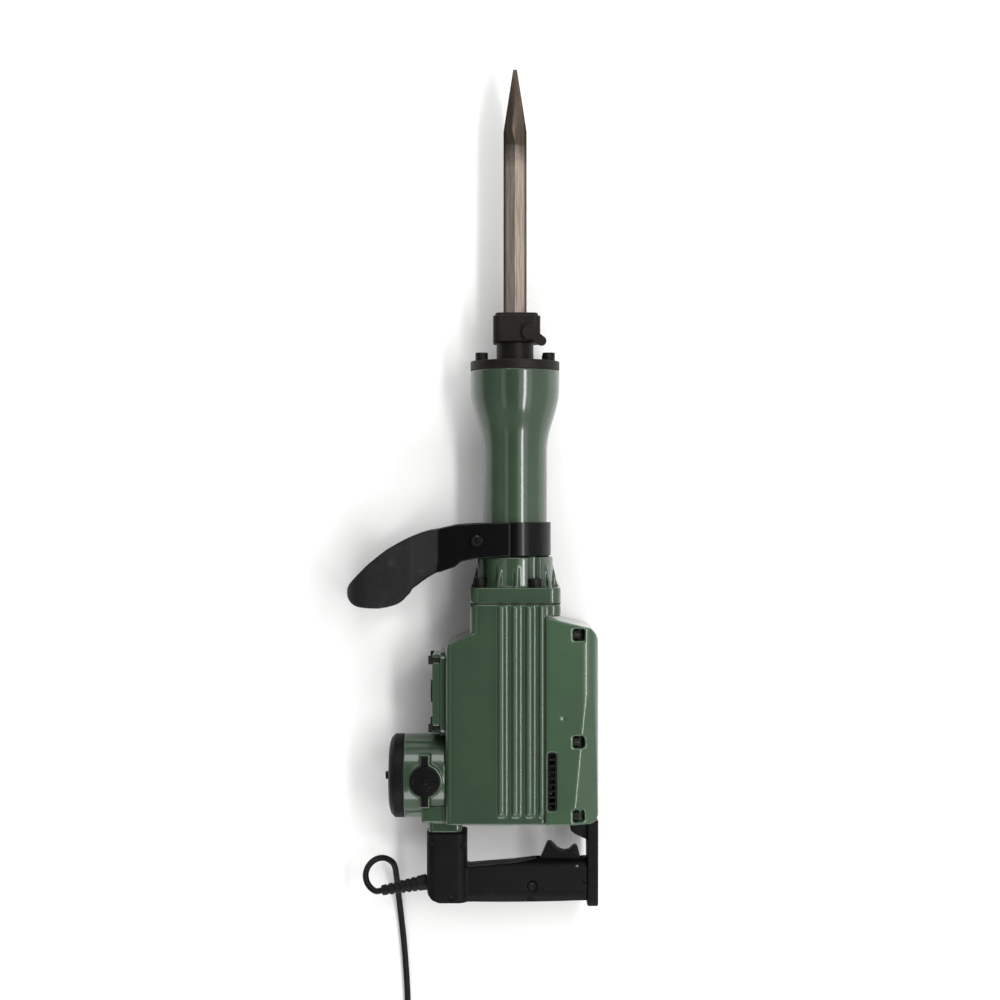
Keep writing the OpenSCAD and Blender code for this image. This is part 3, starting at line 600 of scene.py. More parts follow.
# Dull black that swallows light; its pebble only just breaks up the sheen.
HANDLE_NYLON = MouldedPolymer(
    "moulded_glass_filled_nylon",
    "black_plastic",
    "#040404",
    "#080808",
    0.5,
    ior=1.53,
    gloss=0.12,
    scuff="#121111",
)
# A touch slicker than the handle, as fingers polish it.
TRIGGER_NYLON = MouldedPolymer(
    "moulded_acetal_switch_parts",
    "trigger_plastic",
    "#050404",
    "#090808",
    0.4,
    ior=1.48,
    gloss=0.15,
    pebble_mm=1.0,
    pebble_depth_mm=0.05,
)
# Greyer black with a coarse stipple that catches the light in dots.
GRIP_PEBBLE = MouldedPolymer(
    "moulded_pebbled_grip",
    "side_grip_plastic",
    "#0f0f0e",
    "#151514",
    0.6,
    ior=1.52,
    gloss=0.2,
    pebble_mm=3.6,
    pebble_depth_mm=0.6,
    scuff="#2b2a28",
)
# Soft matt black with no clear highlight.
LEAD_RUBBER = MouldedPolymer(
    "extruded_rubber_sheath",
    "black_rubber",
    "#050404",
    "#0a0909",
    0.52,
    ior=1.52,
    gloss=0.2,
    pebble_mm=1.1,
    pebble_depth_mm=0.06,
    scuff="#131211",
)
# Warm yellow metal on the pins and the brush holders.
SCREW_BRASS = TurnedMetal("turned_brass", "brass", "#c9a55c", "#a07f3e", 0.26, metallic=1.0)
# Red-brown lacquered wire with a satin shine.
FIELD_COPPER = TurnedMetal(
    "enamelled_copper_winding", "copper_winding", "#a4562f", "#7c3a1e", 0.34, metallic=0.9, line_mm=1.1
)
# Flat charcoal black.
BRUSH_CARBON = PressedSheet("pressed_brush_carbon", "carbon", "#1a1a1b", "#262627", 0.6)
# A dark amber window with a sharp highlight.
OIL_GLASS = Lacquer(
    "moulded_sight_glass_over_oil",
    "sight_glass",
    "#3a2a10",
    "#4a3616",
    0.06,
    ior=1.52,
    coat=1.0,
    coat_roughness=0.03,
)
# Matt fibrous black-brown in the joints of the castings.
GASKET_BOARD = PressedSheet("cut_gasket_board", "gasket_paper", "#2a2924", "#36342e", 0.85)
# Grey steel with the fine lines of its stacked sheets.
LAMINATIONS = PressedSheet(
    "stacked_silicon_steel_laminations",
    "machined_steel",
    "#77746f",
    "#8d8a84",
    0.45,
    metallic=0.8,
    stretch=(1.0, 0.05, 0.05),
)
# Nearly white and quite matt, so that it shows no reflection.
BACKGROUND_PAPER = PressedSheet("seamless_background_paper", "", "#f3f3f2", "#f7f7f6", 0.9, layer_mm=2.0)


# ---- Shaping ----------------------------------------------------------------------------------


def listed(name: str, mesh: bpy.types.Mesh) -> Piece:
    """Puts a mesh in the scene under a piece's name."""
    made = bpy.data.objects.new(name, mesh)
    bpy.context.scene.collection.objects.link(made)
    return made


def solid(name: str, points: Sequence[Point], faces: Sequence[Sequence[int]]) -> Piece:
    """Makes one closed mesh.

    Args:
        name: The piece's name.
        points: Its corners in millimetres, in the frame.
        faces: The corner numbers of each face.

    Returns:
        The object, with its faces turned outwards.
    """
    mesh = bpy.data.meshes.new(name)
    mesh.from_pydata([[c * MM for c in p] for p in points], [], faces)
    work = bmesh.new()
    work.from_mesh(mesh)
    bmesh.ops.recalc_face_normals(work, faces=work.faces)
    work.to_mesh(mesh)
    work.free()
    return listed(name, mesh)


def lay_out(flat: Flat, depth: float, along: Along) -> Point:
    """A point of an outline at some depth: (y, z) for X, (x, z) for Y and (x, y) for Z."""
    a, b = flat
    return {Along.X: (depth, a, b), Along.Y: (a, depth, b), Along.Z: (a, b, depth)}[along]


def prism(name: str, outline: Sequence[Flat], span: Flat, along: Along) -> Piece:
    """Extrudes an outline.

    Args:
        name: The piece's name.
        outline: Its corners in millimetres.
        span: Where it starts and ends along its axis.
        along: The axis.

    Returns:
        The closed prism.
    """
    count = len(outline)
    points = [lay_out(p, depth, along) for depth in span for p in outline]
    faces: list[list[int]] = [list(range(count)), list(range(count, 2 * count))]
    faces += [[i, (i + 1) % count, count + (i + 1) % count, count + i] for i in range(count)]
    return solid(name, points, faces)


def box(name: str, x: Flat, y: Flat, z: Flat) -> Piece:
    """A cutting or filling block between two corners."""
    return prism(name, [(x[0], y[0]), (x[1], y[0]), (x[1], y[1]), (x[0], y[1])], z, Along.Z)


def turned(name: str, profile: Sequence[Flat], centre: Flat, along: Along, steps: int = 96) -> Piece:
    """Turns a closed profile about an axis.

    Args:
        name: The piece's name.
        profile: (place along the axis, radius) corners in millimetres, ends on the axis included.
        centre: The axis in the plane square to it.
        along: The axis.
        steps: Facets round the turn.

    Returns:
        The closed form.
    """
    points: list[Point] = []
    rings: list[list[int]] = []
    for depth, radius in profile:
        ring = []
        for k in range(steps if radius > 0 else 1):
            turn = math.tau * k / steps
            flat = (centre[0] + radius * math.cos(turn), centre[1] + radius * math.sin(turn))
            ring.append(len(points))
            points.append(lay_out(flat, depth, along))
        rings.append(ring if radius > 0 else ring * steps)
    closed = rings if profile[0][1] <= 0 and profile[-1][1] <= 0 else rings + rings[:1]
    faces = []
    for low, high in zip(closed, closed[1:]):
        for k in range(steps):
            corners = [low[k], low[(k + 1) % steps], high[(k + 1) % steps], high[k]]
            kept = list(dict.fromkeys(corners))
            if len(kept) > 2:
                faces.append(kept)
    return solid(name, points, faces)


def copied(name: str, *nodes: str) -> Piece:
    """Copies CAD solids into one new mesh, welded and smooth.

    Args:
        name: The piece's name.
        nodes: The CAD nodes to copy.

    Returns:
        The new object; the nodes stay as they were.
    """
    work = bmesh.new()
    for node in nodes:
        work.from_mesh(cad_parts[node].data)
    bmesh.ops.remove_doubles(work, verts=work.verts, dist=0.002 * MM)
    for face in work.faces:
        face.smooth = True
        face.material_index = 0
    mesh = bpy.data.meshes.new(name)
    work.to_mesh(mesh)
    work.free()
    for leftover in ("custom_normal", "sharp_edge", "sharp_face"):
        if leftover in mesh.attributes:
            mesh.attributes.remove(mesh.attributes[leftover])
    return listed(name, mesh)


def shaped(piece: Piece, kind: str, **settings) -> Piece:
    """Adds a modifier with its settings to a piece and returns the piece."""
    made = piece.modifiers.new(kind.lower(), kind)
    for name, value in settings.items():
        setattr(made, name, value)
    return piece


def settled(piece: Piece) -> Piece:
    """Turns a piece's modifiers into its mesh.

    Args:
        piece: The piece.

    Returns:
        The same piece, with no modifiers left.
    """
    graph = bpy.context.evaluated_depsgraph_get()
    old = piece.data
    piece.data = bpy.data.meshes.new_from_object(piece.evaluated_get(graph))
    piece.modifiers.clear()
    piece.data.name = piece.name
    bpy.data.meshes.remove(old)
    return piece


def merged(piece: Piece, *others: Piece) -> Piece:
    """Adds other closed forms to a piece's mesh; a recast after it makes them one skin."""
    work = bmesh.new()
    work.from_mesh(piece.data)
    for other in others:
        work.from_mesh(other.data)
        bpy.data.objects.remove(other)
    work.to_mesh(piece.data)
    work.free()
    return piece


def carved(piece: Piece, *cutters: Piece) -> Piece:
    """Cuts closed forms out of a piece.

    Args:
        piece: The piece.
        cutters: The forms; they are used up.

    Returns:
        The piece with the cuts made.
    """
    for cutter in cutters:
        shaped(piece, "BOOLEAN", operation="DIFFERENCE", solver="EXACT", object=cutter)
    settled(piece)
    for cutter in cutters:
        bpy.data.objects.remove(cutter)
    return piece


def recast(piece: Piece, cell_mm: float, passes: int, strength: float = 0.5) -> Piece:
    """Gives a piece one skin with the soft edges and fillets of a casting or a moulding.

    Args:
        piece: The piece.
        cell_mm: The size of its new faces.
        passes: How many times the skin is relaxed; more makes rounder edges.
        strength: How far each pass goes, from 0 to 1.

    Returns:
        The piece with its new skin.
    """
    shaped(piece, "REMESH", mode="VOXEL", voxel_size=cell_mm * MM, use_smooth_shade=True)
    shaped(piece, "SMOOTH", factor=strength, iterations=passes)
    return settled(piece)


def edged(piece: Piece, width_mm: float, steps: int = 2) -> Piece:
    """Breaks the sharp edges of a machined piece and shades its flats flat.

    Args:
        piece: The piece.
        width_mm: How wide the broken edges are.
        steps: Facets across a broken edge.

    Returns:
        The piece with the edges broken.
    """
    work = bmesh.new()
    work.from_mesh(piece.data)
    bmesh.ops.dissolve_limit(work, angle_limit=math.radians(0.6), verts=work.verts, edges=work.edges)
    work.to_mesh(piece.data)
    work.free()
    shaped(
        piece,
        "BEVEL",
        width=width_mm * MM,
        segments=steps,
        limit_method="ANGLE",
        angle_limit=math.radians(32),
        use_clamp_overlap=True,
    )
    shaped(piece, "WEIGHTED_NORMAL", keep_sharp=True, weight=80)
    return settled(piece)


def trued(
    piece: Piece, along: Along, centre: Flat, span: Flat, radius: Callable[[float], float], reach: float
) -> Piece:
    """Brings a recast surface back to the exact radius that it was turned to.

    Args:
        piece: The piece.
        along: The turning axis.
        centre: The axis in the plane square to it, in millimetres.
        span: Where the turned surface starts and ends along the axis.
        radius: The true radius at a place along the axis.
        reach: How far off a vertex may be and still be moved.

    Returns:
        The piece.
    """
    mesh = piece.data
    flat = np.zeros(len(mesh.vertices) * 3)
    mesh.vertices.foreach_get("co", flat)
    at = flat.reshape(-1, 3) / MM
    across = [k for k in range(3) if k != along.value]
    depth = at[:, along.value]
    off = at[:, across] - np.array(centre)
    real = np.hypot(off[:, 0], off[:, 1])
    true = np.array([radius(d) for d in depth])
    gap = np.abs(real - true)
    pull = np.clip((reach - gap) / (0.5 * reach), 0.0, 1.0)
    inside = np.minimum(depth - span[0], span[1] - depth)
    pull *= np.clip(inside / 2.0, 0.0, 1.0)
    wanted = real + (true - real) * pull
    at[:, across] = np.array(centre) + off * (wanted / np.maximum(real, 1e-6))[:, None]
    mesh.vertices.foreach_set("co", (at * MM).ravel())
    mesh.update()
    return piece


@dataclass
class SubAssembly:
    """What every sub-assembly shares: how a piece gets its finish and its body."""

    def dress(
        self, piece: Piece, finish: Finish, body: Body, nodes: Iterable[str] = ()
    ) -> Piece:
        """Finishes a piece and puts it on its body.

        Args:
            piece: The piece, in place.
            finish: What it is made of.
            body: The body that it rides on.
            nodes: The CAD nodes that it stands for.

        Returns:
            The piece.
        """
        piece.data.materials.clear()
        piece.data.materials.append(finish.material())
        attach(piece, body.value)
        if nodes:
            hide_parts(*nodes)
        faces = len(piece.data.polygons) if piece.type == "MESH" else 0
        log.info("%s: %d faces, %s", piece.name, faces, finish.name)
        return piece

    def keep(self, finish: Finish, *nodes: str, edge_mm: float = 0.3) -> None:
        """Keeps CAD solids as they are, with their edges broken by a modifier, and finishes them.

        Args:
            finish: What they are made of.
            nodes: The CAD nodes.
            edge_mm: How wide the broken edges are.
        """
        for node in nodes:
            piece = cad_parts[node]
            shaped(piece, "WELD", merge_threshold=0.002 * MM)
            shaped(
                piece,
                "BEVEL",
                width=edge_mm * MM,
                segments=2,
                limit_method="ANGLE",
                angle_limit=math.radians(40),
                use_clamp_overlap=True,
            )
            shaped(piece, "WEIGHTED_NORMAL", keep_sharp=True)
            for place in piece.material_slots:
                place.material = finish.material()
            log.info("%s: kept, %s", node, finish.name)

    def bolts(self, name: str, node: str, finish: Finish, body: Body, edge_mm: float = 0.7) -> None:
        """Makes screws or bolts with rounded heads from their CAD solids.

        Args:
            name: The piece's name.
            node: The CAD node with the fasteners.
            finish: What they are made of.
            body: The body that they ride on.
            edge_mm: The rounding of the heads.
        """
        self.dress(edged(copied(name, node), edge_mm, 3), finish, body, [node])


# ---- The tool's own pieces --------------------------------------------------------------------


@dataclass
class Barrel(SubAssembly):
    """The turned cylinder casting, its forged front cover and their fasteners."""

    neck_radius: float = 41.6
    mouth_radius: float = 57.8
    neck: Flat = (196.0, 330.0)
    mouth: Flat = (412.0, 434.0)
    casting_cell: float = 1.25
    forging_cell: float = 0.9

    def outer_radius(self, place: float) -> float:
        """The barrel's radius at a place along the tool's axis.

        Args:
            place: Millimetres along the axis.

        Returns:
            The radius of the neck, of the flare or of the mouth.
        """
        run = min(max((place - self.neck[1]) / (self.mouth[0] - self.neck[1]), 0.0), 1.0)
        rise = (1.0 - math.cos(math.pi * run)) / 2.0
        return self.neck_radius + (self.mouth_radius - self.neck_radius) * rise

    def build(self) -> None:
        """Builds the barrel's pieces in order."""
        casting = recast(copied("cylinder_casting", "cylinder_case"), self.casting_cell, 5)
        span = (self.neck[0], self.mouth[1] - 1.0)
        trued(casting, Along.Y, (0.0, AXIS_Z), span, self.outer_radius, 0.9)
        self.dress(casting, GREEN_ENAMEL, Body.CASING, ["cylinder_case"])
        forging = recast(copied("front_cover_forging", "front_cover"), self.forging_cell, 4)
        self.dress(forging, BLACK_OXIDE, Body.CASING, ["front_cover"])
        self.bolts("front_cover_cap_screws", "front_cover_bolts", BOLT_OXIDE, Body.CASING)
        self.bolts("cylinder_cap_screws", "cylinder_case_bolts", BOLT_OXIDE, Body.CASING)
        self.keep(GASKET_BOARD, "cylinder_gasket", edge_mm=0.1)


@dataclass
class CrankHousing(SubAssembly):
    """The ribbed crank case with its side cover and the oil sight glass."""

    case_cell: float = 1.5
    case_passes: int = 12
    cover_cell: float = 1.0

    def build(self) -> None:
        """Builds the crank case's pieces in order."""
        case = recast(copied("crank_case_casting", "crank_case"), self.case_cell, self.case_passes)
        self.dress(case, GREEN_ENAMEL, Body.CASING, ["crank_case"])
        cover = recast(copied("crank_cover_casting", "crank_cover"), self.cover_cell, 5)
        self.dress(cover, GREEN_ENAMEL, Body.CASING, ["crank_cover"])
        self.bolts("crank_cover_cap_screws", "crank_cover_bolts", BOLT_OXIDE, Body.CASING)
        bezel = edged(copied("sight_glass_ring", "sight_glass_bezel"), 0.6, 3)
        self.dress(bezel, BOLT_OXIDE, Body.CASING, ["sight_glass_bezel"])
        glass = edged(copied("sight_glass_lens", "oil_sight_glass"), 0.9, 4)
        self.dress(glass, OIL_GLASS, Body.CASING, ["oil_sight_glass"])


@dataclass
class GearHousing(SubAssembly):
    """The gear cover with its sloping lower flanks, sunk screws and air slots."""

    cell: float = 1.4
    top: float = 60.0
    slope_from: Flat = (88.0, 0.0)
    slope_to: Flat = (75.0, -136.0)
    slope_width: float = 46.0
    slope_fall: float = 0.45
    slot_filler: tuple[Flat, Flat] = ((54.0, 72.0), (-142.0, -37.0))
    edge_filler: tuple[Flat, Flat] = ((89.0, 97.0), (-142.0, 0.0))
    filler_depth: Flat = (46.0, 57.0)
    filler_inset: float = 4.0
    dimple: Point = (61.0, -10.0, 5.0)

    def flank(self, side: int) -> Piece:
        """The wedge that is cut off a lower long edge.

        Args:
            side: 1 for the near face, -1 for the far face.

        Returns:
            The cutting form.
        """
        (xa, ya), (xb, yb) = self.slope_from, self.slope_to
        grade = (xb - xa) / (yb - ya)
        points: list[Point] = []
        for y in (ya + 18.0, -160.0):
            edge = xa + grade * (y - ya)
            far = edge + self.slope_width
            low = self.top - self.slope_width * self.slope_fall
            for x, z in ((edge, self.top), (far, low), (far, self.top + 20.0), (edge, self.top + 20.0)):
                points.append((x, y, AXIS_Z + side * z))
        faces = [[0, 1, 2, 3], [4, 5, 6, 7]] + [[k, (k + 1) % 4, 4 + (k + 1) % 4, 4 + k] for k in range(4)]
        return solid("flank", points, faces)

    def build(self) -> None:
        """Builds the gear cover's pieces in order."""
        cover = copied("gear_cover_casting", "gear_cover")
        fillers = []
        for side in (1, -1):
            low, high = sorted(AXIS_Z + side * depth for depth in self.filler_depth)
            fillers.append(box("filler", *self.slot_filler, (low, high)))
            inset = (low + self.filler_inset, high - self.filler_inset)
            fillers.append(box("filler", *self.edge_filler, inset))
        recast(merged(cover, *fillers), self.cell, 0)
        x, y, half = self.dimple
        low, high = AXIS_Z + self.top - 1.4, AXIS_Z + self.top + 4.0
        dent = turned("dent", [(low, 0.0), (low, 2.0), (high, half), (high, 0.0)], (x, y), Along.Z, 24)
        carved(cover, self.flank(1), self.flank(-1), dent)
        recast(cover, self.cell, 6)
        # The cover wears a lighter copy of the green enamel: painted light.
        self.dress(cover, COVER_ENAMEL_PAINTED_LIGHTER, Body.CASING, ["gear_cover"])
        self.bolts("gear_cover_cap_screws", "gear_cover_screws", BOLT_OXIDE, Body.CASING)
        self.keep(GASKET_BOARD, "gear_cover_gasket", edge_mm=0.1)
        grille = edged(copied("air_grilles", "vent_grilles"), 0.5)
        self.dress(grille, HANDLE_NYLON, Body.CASING, ["vent_grilles"])


@dataclass
class Motor(SubAssembly):
    """The motor housing with its brush caps and the louvred tail cover."""

    centre: Flat = (-91.0, AXIS_Z)
    radius: float = 54.0
    cell: float = 1.2
    louvres: int = 18
    louvre: Flat = (21.0, 39.0)
    louvre_half: float = 1.9
    cap_at: Flat = (-115.0, -91.0)
    cap_face: float = 59.5

    def spoke(self, index: int) -> Piece:
        """The cutting form of one louvre in the tail cover."""
        turn = math.tau * (index + 0.5) / self.louvres
        along, across = (math.cos(turn), math.sin(turn)), (-math.sin(turn), math.cos(turn))
        near, far = self.louvre
        half = self.louvre_half
        corners = [(near, -half), (near, half), (far, half), (far, -half)]
        outline = [
            (self.centre[0] + r * along[0] + s * across[0], self.centre[1] + r * along[1] + s * across[1])
            for r, s in corners
        ]
        return prism("spoke", outline, (-166.0, -157.0), Along.X)

    def build(self) -> None:
        """Builds the motor's outer pieces in order."""
        housing = recast(copied("motor_casting", "motor_housing"), self.cell, 5)
        trued(housing, Along.X, self.centre, (-143.0, -90.0), lambda place: self.radius, 0.7)
        self.dress(housing, GREEN_ENAMEL, Body.CASING, ["motor_housing"])
        spokes = [self.spoke(k) for k in range(self.louvres)]
        tail = carved(copied("motor_tail_cover", "tail_cover"), *spokes)
        recast(tail, 0.9, 3)
        self.dress(tail, HANDLE_NYLON, Body.CASING, ["tail_cover"])
        self.bolts("tail_cover_cap_screw", "tail_cover_screw", BOLT_OXIDE, Body.CASING)
        caps = copied("brush_cap_discs", "brush_caps")
        slots = []
        x, y = self.cap_at
        for z in (AXIS_Z + self.cap_face, AXIS_Z - self.cap_face):
            slots.append(box("slot", (x - 16.0, x + 16.0), (y - 1.2, y + 1.2), (z - 1.6, z + 1.6)))
        edged(carved(caps, *slots), 1.2, 3)
        self.dress(caps, TRIGGER_NYLON, Body.CASING, ["brush_caps"])
        bars = edged(copied("brush_cap_straps", "brush_cap_bars"), 1.0, 3)
        self.dress(bars, TRIGGER_NYLON, Body.CASING, ["brush_cap_bars"])


@dataclass
class Drive(SubAssembly):
    """Everything inside the castings, kept as the solids are and given real metals."""

    def build(self) -> None:
        """Finishes the inner parts."""
        self.keep(
            GROUND_STEEL,
            "cylinder_liner",
            "impact_sleeve",
            "armature_bearings",
            "gear_bearings",
            "armature_shaft",
            "idler_shaft",
            "idler_gear",
            "crankshaft",
            "crank_gear",
            "connecting_rod",
            "piston",
            "piston_pin",
            "striker",
            "impact_bolt",
            "trigger_pin",
        )
        self.keep(BLACK_OXIDE, "piston_ring", edge_mm=0.15)
        self.keep(LEAD_RUBBER, "damper_ring")
        self.keep(LAMINATIONS, "stator_core", "armature_core")
        self.keep(FIELD_COPPER, "field_coils", "commutator")
        self.keep(SCREW_BRASS, "brush_holders")
        self.keep(BRUSH_CARBON, "carbon_brushes")
        self.keep(HANDLE_NYLON, "cooling_fan")
        self.keep(TRIGGER_NYLON, "switch_body")


@dataclass
class SideHandle(SubAssembly):
    """The swivelling loop grip, its clamp strap round the barrel and the clamp bolt."""

    strap_radius: float = 46.5
    strap_cell: float = 0.9
    grip_cell: float = 1.7
    grip_passes: int = 16

    def build(self) -> None:
        """Builds the side handle's pieces in order."""
        strap = recast(copied("side_handle_clamp_strap", "side_handle_strap"), self.strap_cell, 4)
        trued(strap, Along.Y, (0.0, AXIS_Z), (192.0, 240.0), lambda place: self.strap_radius, 0.7)
        self.dress(strap, STRAP_LACQUER, Body.SIDE_HANDLE, ["side_handle_strap"])
        grip = recast(copied("side_handle_grip", "side_handle_loop"), self.grip_cell, self.grip_passes)
        self.dress(grip, GRIP_PEBBLE, Body.SIDE_HANDLE, ["side_handle_loop"])
        self.bolts("side_handle_clamp_bolt", "side_handle_bolt", BOLT_OXIDE, Body.SIDE_HANDLE, 0.9)


@dataclass
class RearHandle(SubAssembly):
    """The two-part moulded rear handle with its end bar, trigger and lock button."""

    cell: float = 1.2
    passes: int = 7

    def build(self) -> None:
        """Builds the rear handle's pieces in order."""
        for side in ("near", "far"):
            node = f"handle_shell_{side}"
            half = recast(copied(f"rear_handle_{side}_half", node), self.cell, self.passes)
            self.dress(half, HANDLE_NYLON, Body.CASING, [node])
        bar = recast(copied("rear_handle_end_bar", "handle_end_bar"), self.cell, self.passes)
        self.dress(bar, HANDLE_NYLON, Body.CASING, ["handle_end_bar"])
        self.bolts("rear_handle_screws", "handle_screws", BOLT_OXIDE, Body.CASING, 0.4)
        lever = recast(copied("switch_trigger", "trigger"), 0.7, 5)
        self.dress(lever, TRIGGER_NYLON, Body.TRIGGER, ["trigger"])
        button = edged(copied("switch_lock_button", "lock_button"), 1.0, 4)
        self.dress(button, TRIGGER_NYLON, Body.LOCK_BUTTON, ["lock_button"])


@dataclass
class ChiselSet(SubAssembly):
    """The hexagon bull-point chisel and the retainer that keeps it in the socket."""

    def build(self) -> None:
        """Builds the chisel and its retainer."""
        bar = edged(copied("bull_point_chisel", "chisel"), 0.9, 3)
        self.dress(bar, CHISEL_STEEL, Body.CHISEL, ["chisel"])
        lever = edged(copied("chisel_retainer", "retainer_lever"), 0.9, 3)
        self.dress(lever, BLACK_OXIDE, Body.RETAINER, ["retainer_lever"])


@dataclass
class MainsLead(SubAssembly):
    """The rubber lead: out of its ribbed guard, down in a limp loop, along the floor to its coil."""

    radius: float = 4.0
    length: float = 1.85
    guard_root: Flat = (-114.0, -229.6)
    guard_run: float = 60.09
    floor_z: float = 4.2
    coil_centre: Flat = (-90.0, -475.0)
    lane: Flat = (52.0, 8.0)
    plug_x: float = -69.2
    route: tuple[Point, ...] = (
        (-173, -241, 65),
        (-181, -242, 64.5),
        (-188.3, -237.8, 61.5),
        (-193.2, -231.2, 57.5),
        (-195, -223.3, 53),
        (-193.2, -215.4, 48.5),
        (-188.3, -209, 44),
        (-181, -205, 39.5),
        (-173, -204.6, 35),
        (-165.6, -208, 30.5),
        (-160.2, -214, 26),
        (-158, -221.5, 22),
        (-157, -230, 18.5),
        (-156, -240, 14.5),
        (-155, -252, 10.8),
        (-153.6, -266, 7.4),
        (-152, -282, 5),
        (-150, -300, 4.2),
        (-148, -318, 4.2),
        (-146.4, -336, 4.2),
        (-144.6, -360, 4.2),
        (-143.2, -384, 4.2),
        (-142.4, -408, 4.2),
        (-142, -432, 4.2),
        (-142, -456, 4.2),
    )

    def curve(self) -> list[Vector]:
        """One smooth line through the route's points.

        Returns:
            Points along the line, in millimetres.
        """
        ends = [Vector(p) for p in self.route]
        ends = [ends[0] * 2 - ends[1], *ends, ends[-1] * 2 - ends[-2]]
        line: list[Vector] = []
        for a, b, c, d in zip(ends, ends[1:], ends[2:], ends[3:]):
            for k in range(6):
                t = k / 6
                square = (2 * a - 5 * b + 4 * c - d) * t**2
                cube = (3 * b - a - 3 * c + d) * t**3
                line.append(0.5 * (2 * b + (c - a) * t + square + cube))
        line.append(ends[-2])
        return line

    def coil(self) -> list[Vector]:
        """The five and a quarter turns: inwards on the floor, then outwards on top of them.

        Returns:
            Points along the turns, in millimetres.
        """
        outer, step = self.lane
        moves = (
            (300, 350, -step, 0.0),
            (660, 710, -step, 0.0),
            (970, 1020, 0.0, step),
            (1280, 1330, step, 0.0),
            (1640, 1690, step, 0.0),
        )
        line = []
        for degree in range(5, 1891, 5):
            radius, height = outer, self.floor_z
            for start, stop, out, up in moves:
                run = min(max((degree - start) / (stop - start), 0.0), 1.0)
                ease = run * run * (3 - 2 * run)
                radius += out * ease
                height += up * ease
            turn = math.radians(180 + degree)
            x = self.coil_centre[0] + radius * math.cos(turn)
            y = self.coil_centre[1] + radius * math.sin(turn)
            line.append(Vector((x, y, height)))
        return line

    def sheath(self) -> Piece:
        """The lead itself, one round tube on one smooth line.

        Returns:
            The curve object.
        """
        entry = self.coil_centre[0] - self.lane[0]
        straight = [Vector((entry, y, self.floor_z)) for y in (-462.0, -468.0, self.coil_centre[1])]
        out_y, out_z = self.coil_centre[1] - self.lane[0], self.floor_z + self.lane[1]
        to_plug = [Vector((self.plug_x + step, out_y, out_z)) for step in (-14.0, -7.0, 3.0)]
        line = self.curve() + straight + self.coil() + to_plug
        data = bpy.data.curves.new("mains_lead", "CURVE")
        data.dimensions = "3D"
        data.bevel_depth = self.radius * MM
        data.bevel_resolution = 4
        data.use_fill_caps = True
        path = data.splines.new("POLY")
        path.points.add(len(line) - 1)
        for place, at in zip(path.points, line):
            place.co = (*(at * MM), 1.0)
        path.use_smooth = True
        made = bpy.data.objects.new("mains_lead", data)
        bpy.context.scene.collection.objects.link(made)
        return made

    def guard(self) -> Piece:
        """The tapered rubber guard where the lead leaves the handle, with its bend grooves."""
        wide, narrow = 10.4, 6.6
        profile: list[Flat] = [(-5.0, 0.0), (-5.0, 9.0), (0.0, 9.0), (0.0, wide - 0.4), (1.0, wide)]
        for k in range(6):
            start = 12.0 + 7.6 * k
            for offset, drop in ((0.0, 0.0), (0.7, 1.3), (2.7, 1.3), (3.4, 0.0)):
                place = start + offset
                profile.append((place, wide + (narrow - wide) * place / self.guard_run - drop))
        profile += [(self.guard_run - 0.6, narrow), (self.guard_run, narrow - 0.6), (self.guard_run, 0.0)]
        made = turned("mains_lead_guard", profile, (0.0, 0.0), Along.X, 48)
        end = Vector(self.route[0][:2])
        root = Vector(self.guard_root)
        heading = math.atan2(end.y - root.y, end.x - root.x)
        spot = Vector((root.x, root.y, AXIS_Z)) * MM
        made.data.transform(Matrix.Translation(spot) @ Matrix.Rotation(heading, 4, "Z"))
        return edged(made, 0.35, 2)

    def tie(self) -> Piece:
        """The hook-and-loop tie that holds the coil's turns together."""
        outer = [(31.0, 0.8), (31.8, 0.03), (56.2, 0.03), (57.0, 0.8)]
        outer += [(57.0, 16.0), (56.0, 17.2), (32.0, 17.2), (31.0, 16.0)]
        inner = [(32.0, 0.9), (32.6, 0.16), (55.4, 0.16), (56.0, 0.9)]
        inner += [(56.0, 15.6), (55.4, 16.25), (32.6, 16.25), (32.0, 15.6)]
        count = len(outer)
        points = [(x, y, z) for y in (-6.0, 6.0) for loop in (outer, inner) for x, z in loop]
        faces = []
        for k in range(count):
            n = (k + 1) % count
            faces += [
                [k, n, count + n, count + k],
                [2 * count + k, 2 * count + n, 3 * count + n, 3 * count + k],
                [k, n, 2 * count + n, 2 * count + k],
                [count + k, count + n, 3 * count + n, 3 * count + k],
            ]
        made = solid("mains_lead_tie", points, faces)
        spot = Vector((*self.coil_centre, 0.0)) * MM
        made.data.transform(Matrix.Translation(spot) @ Matrix.Rotation(math.radians(35), 4, "Z"))
        return edged(made, 0.25, 2)

    def build(self) -> None:
        self.dress(self.guard(), LEAD_RUBBER, Body.CASING, ["cord_guard"])
        tie = self.dress(self.tie(), LEAD_RUBBER, Body.CASING)
        plug = copied("mains_plug_body", "mains_plug")
        y, z = self.coil_centre[1] - self.lane[0], self.floor_z + self.lane[1]
        rings = []
        for k in range(4):
            along = 4.0 + 5.0 * k
            start, stop = self.plug_x + along, self.plug_x + along + 2.0
            depth = 4.5 + 3.5 * along / 26.0 - 0.9
            groove = [(start, depth), (stop, depth), (stop, 14.0), (start, 14.0)]
            rings.append(turned("ring", groove, (y, z), Along.X, 32))
        recast(carved(plug, *rings), 0.7, 4)
        self.dress(plug, LEAD_RUBBER, Body.CASING, ["mains_plug"])
        pins = edged(copied("mains_plug_pins", "plug_pins"), 0.9, 3)
        self.dress(pins, SCREW_BRASS, Body.CASING, ["plug_pins"])
        lead = self.dress(self.sheath(), LEAD_RUBBER, Body.CASING, ["cord", "cord_coil"])


# ---- Studio -----------------------------------------------------------------------------------


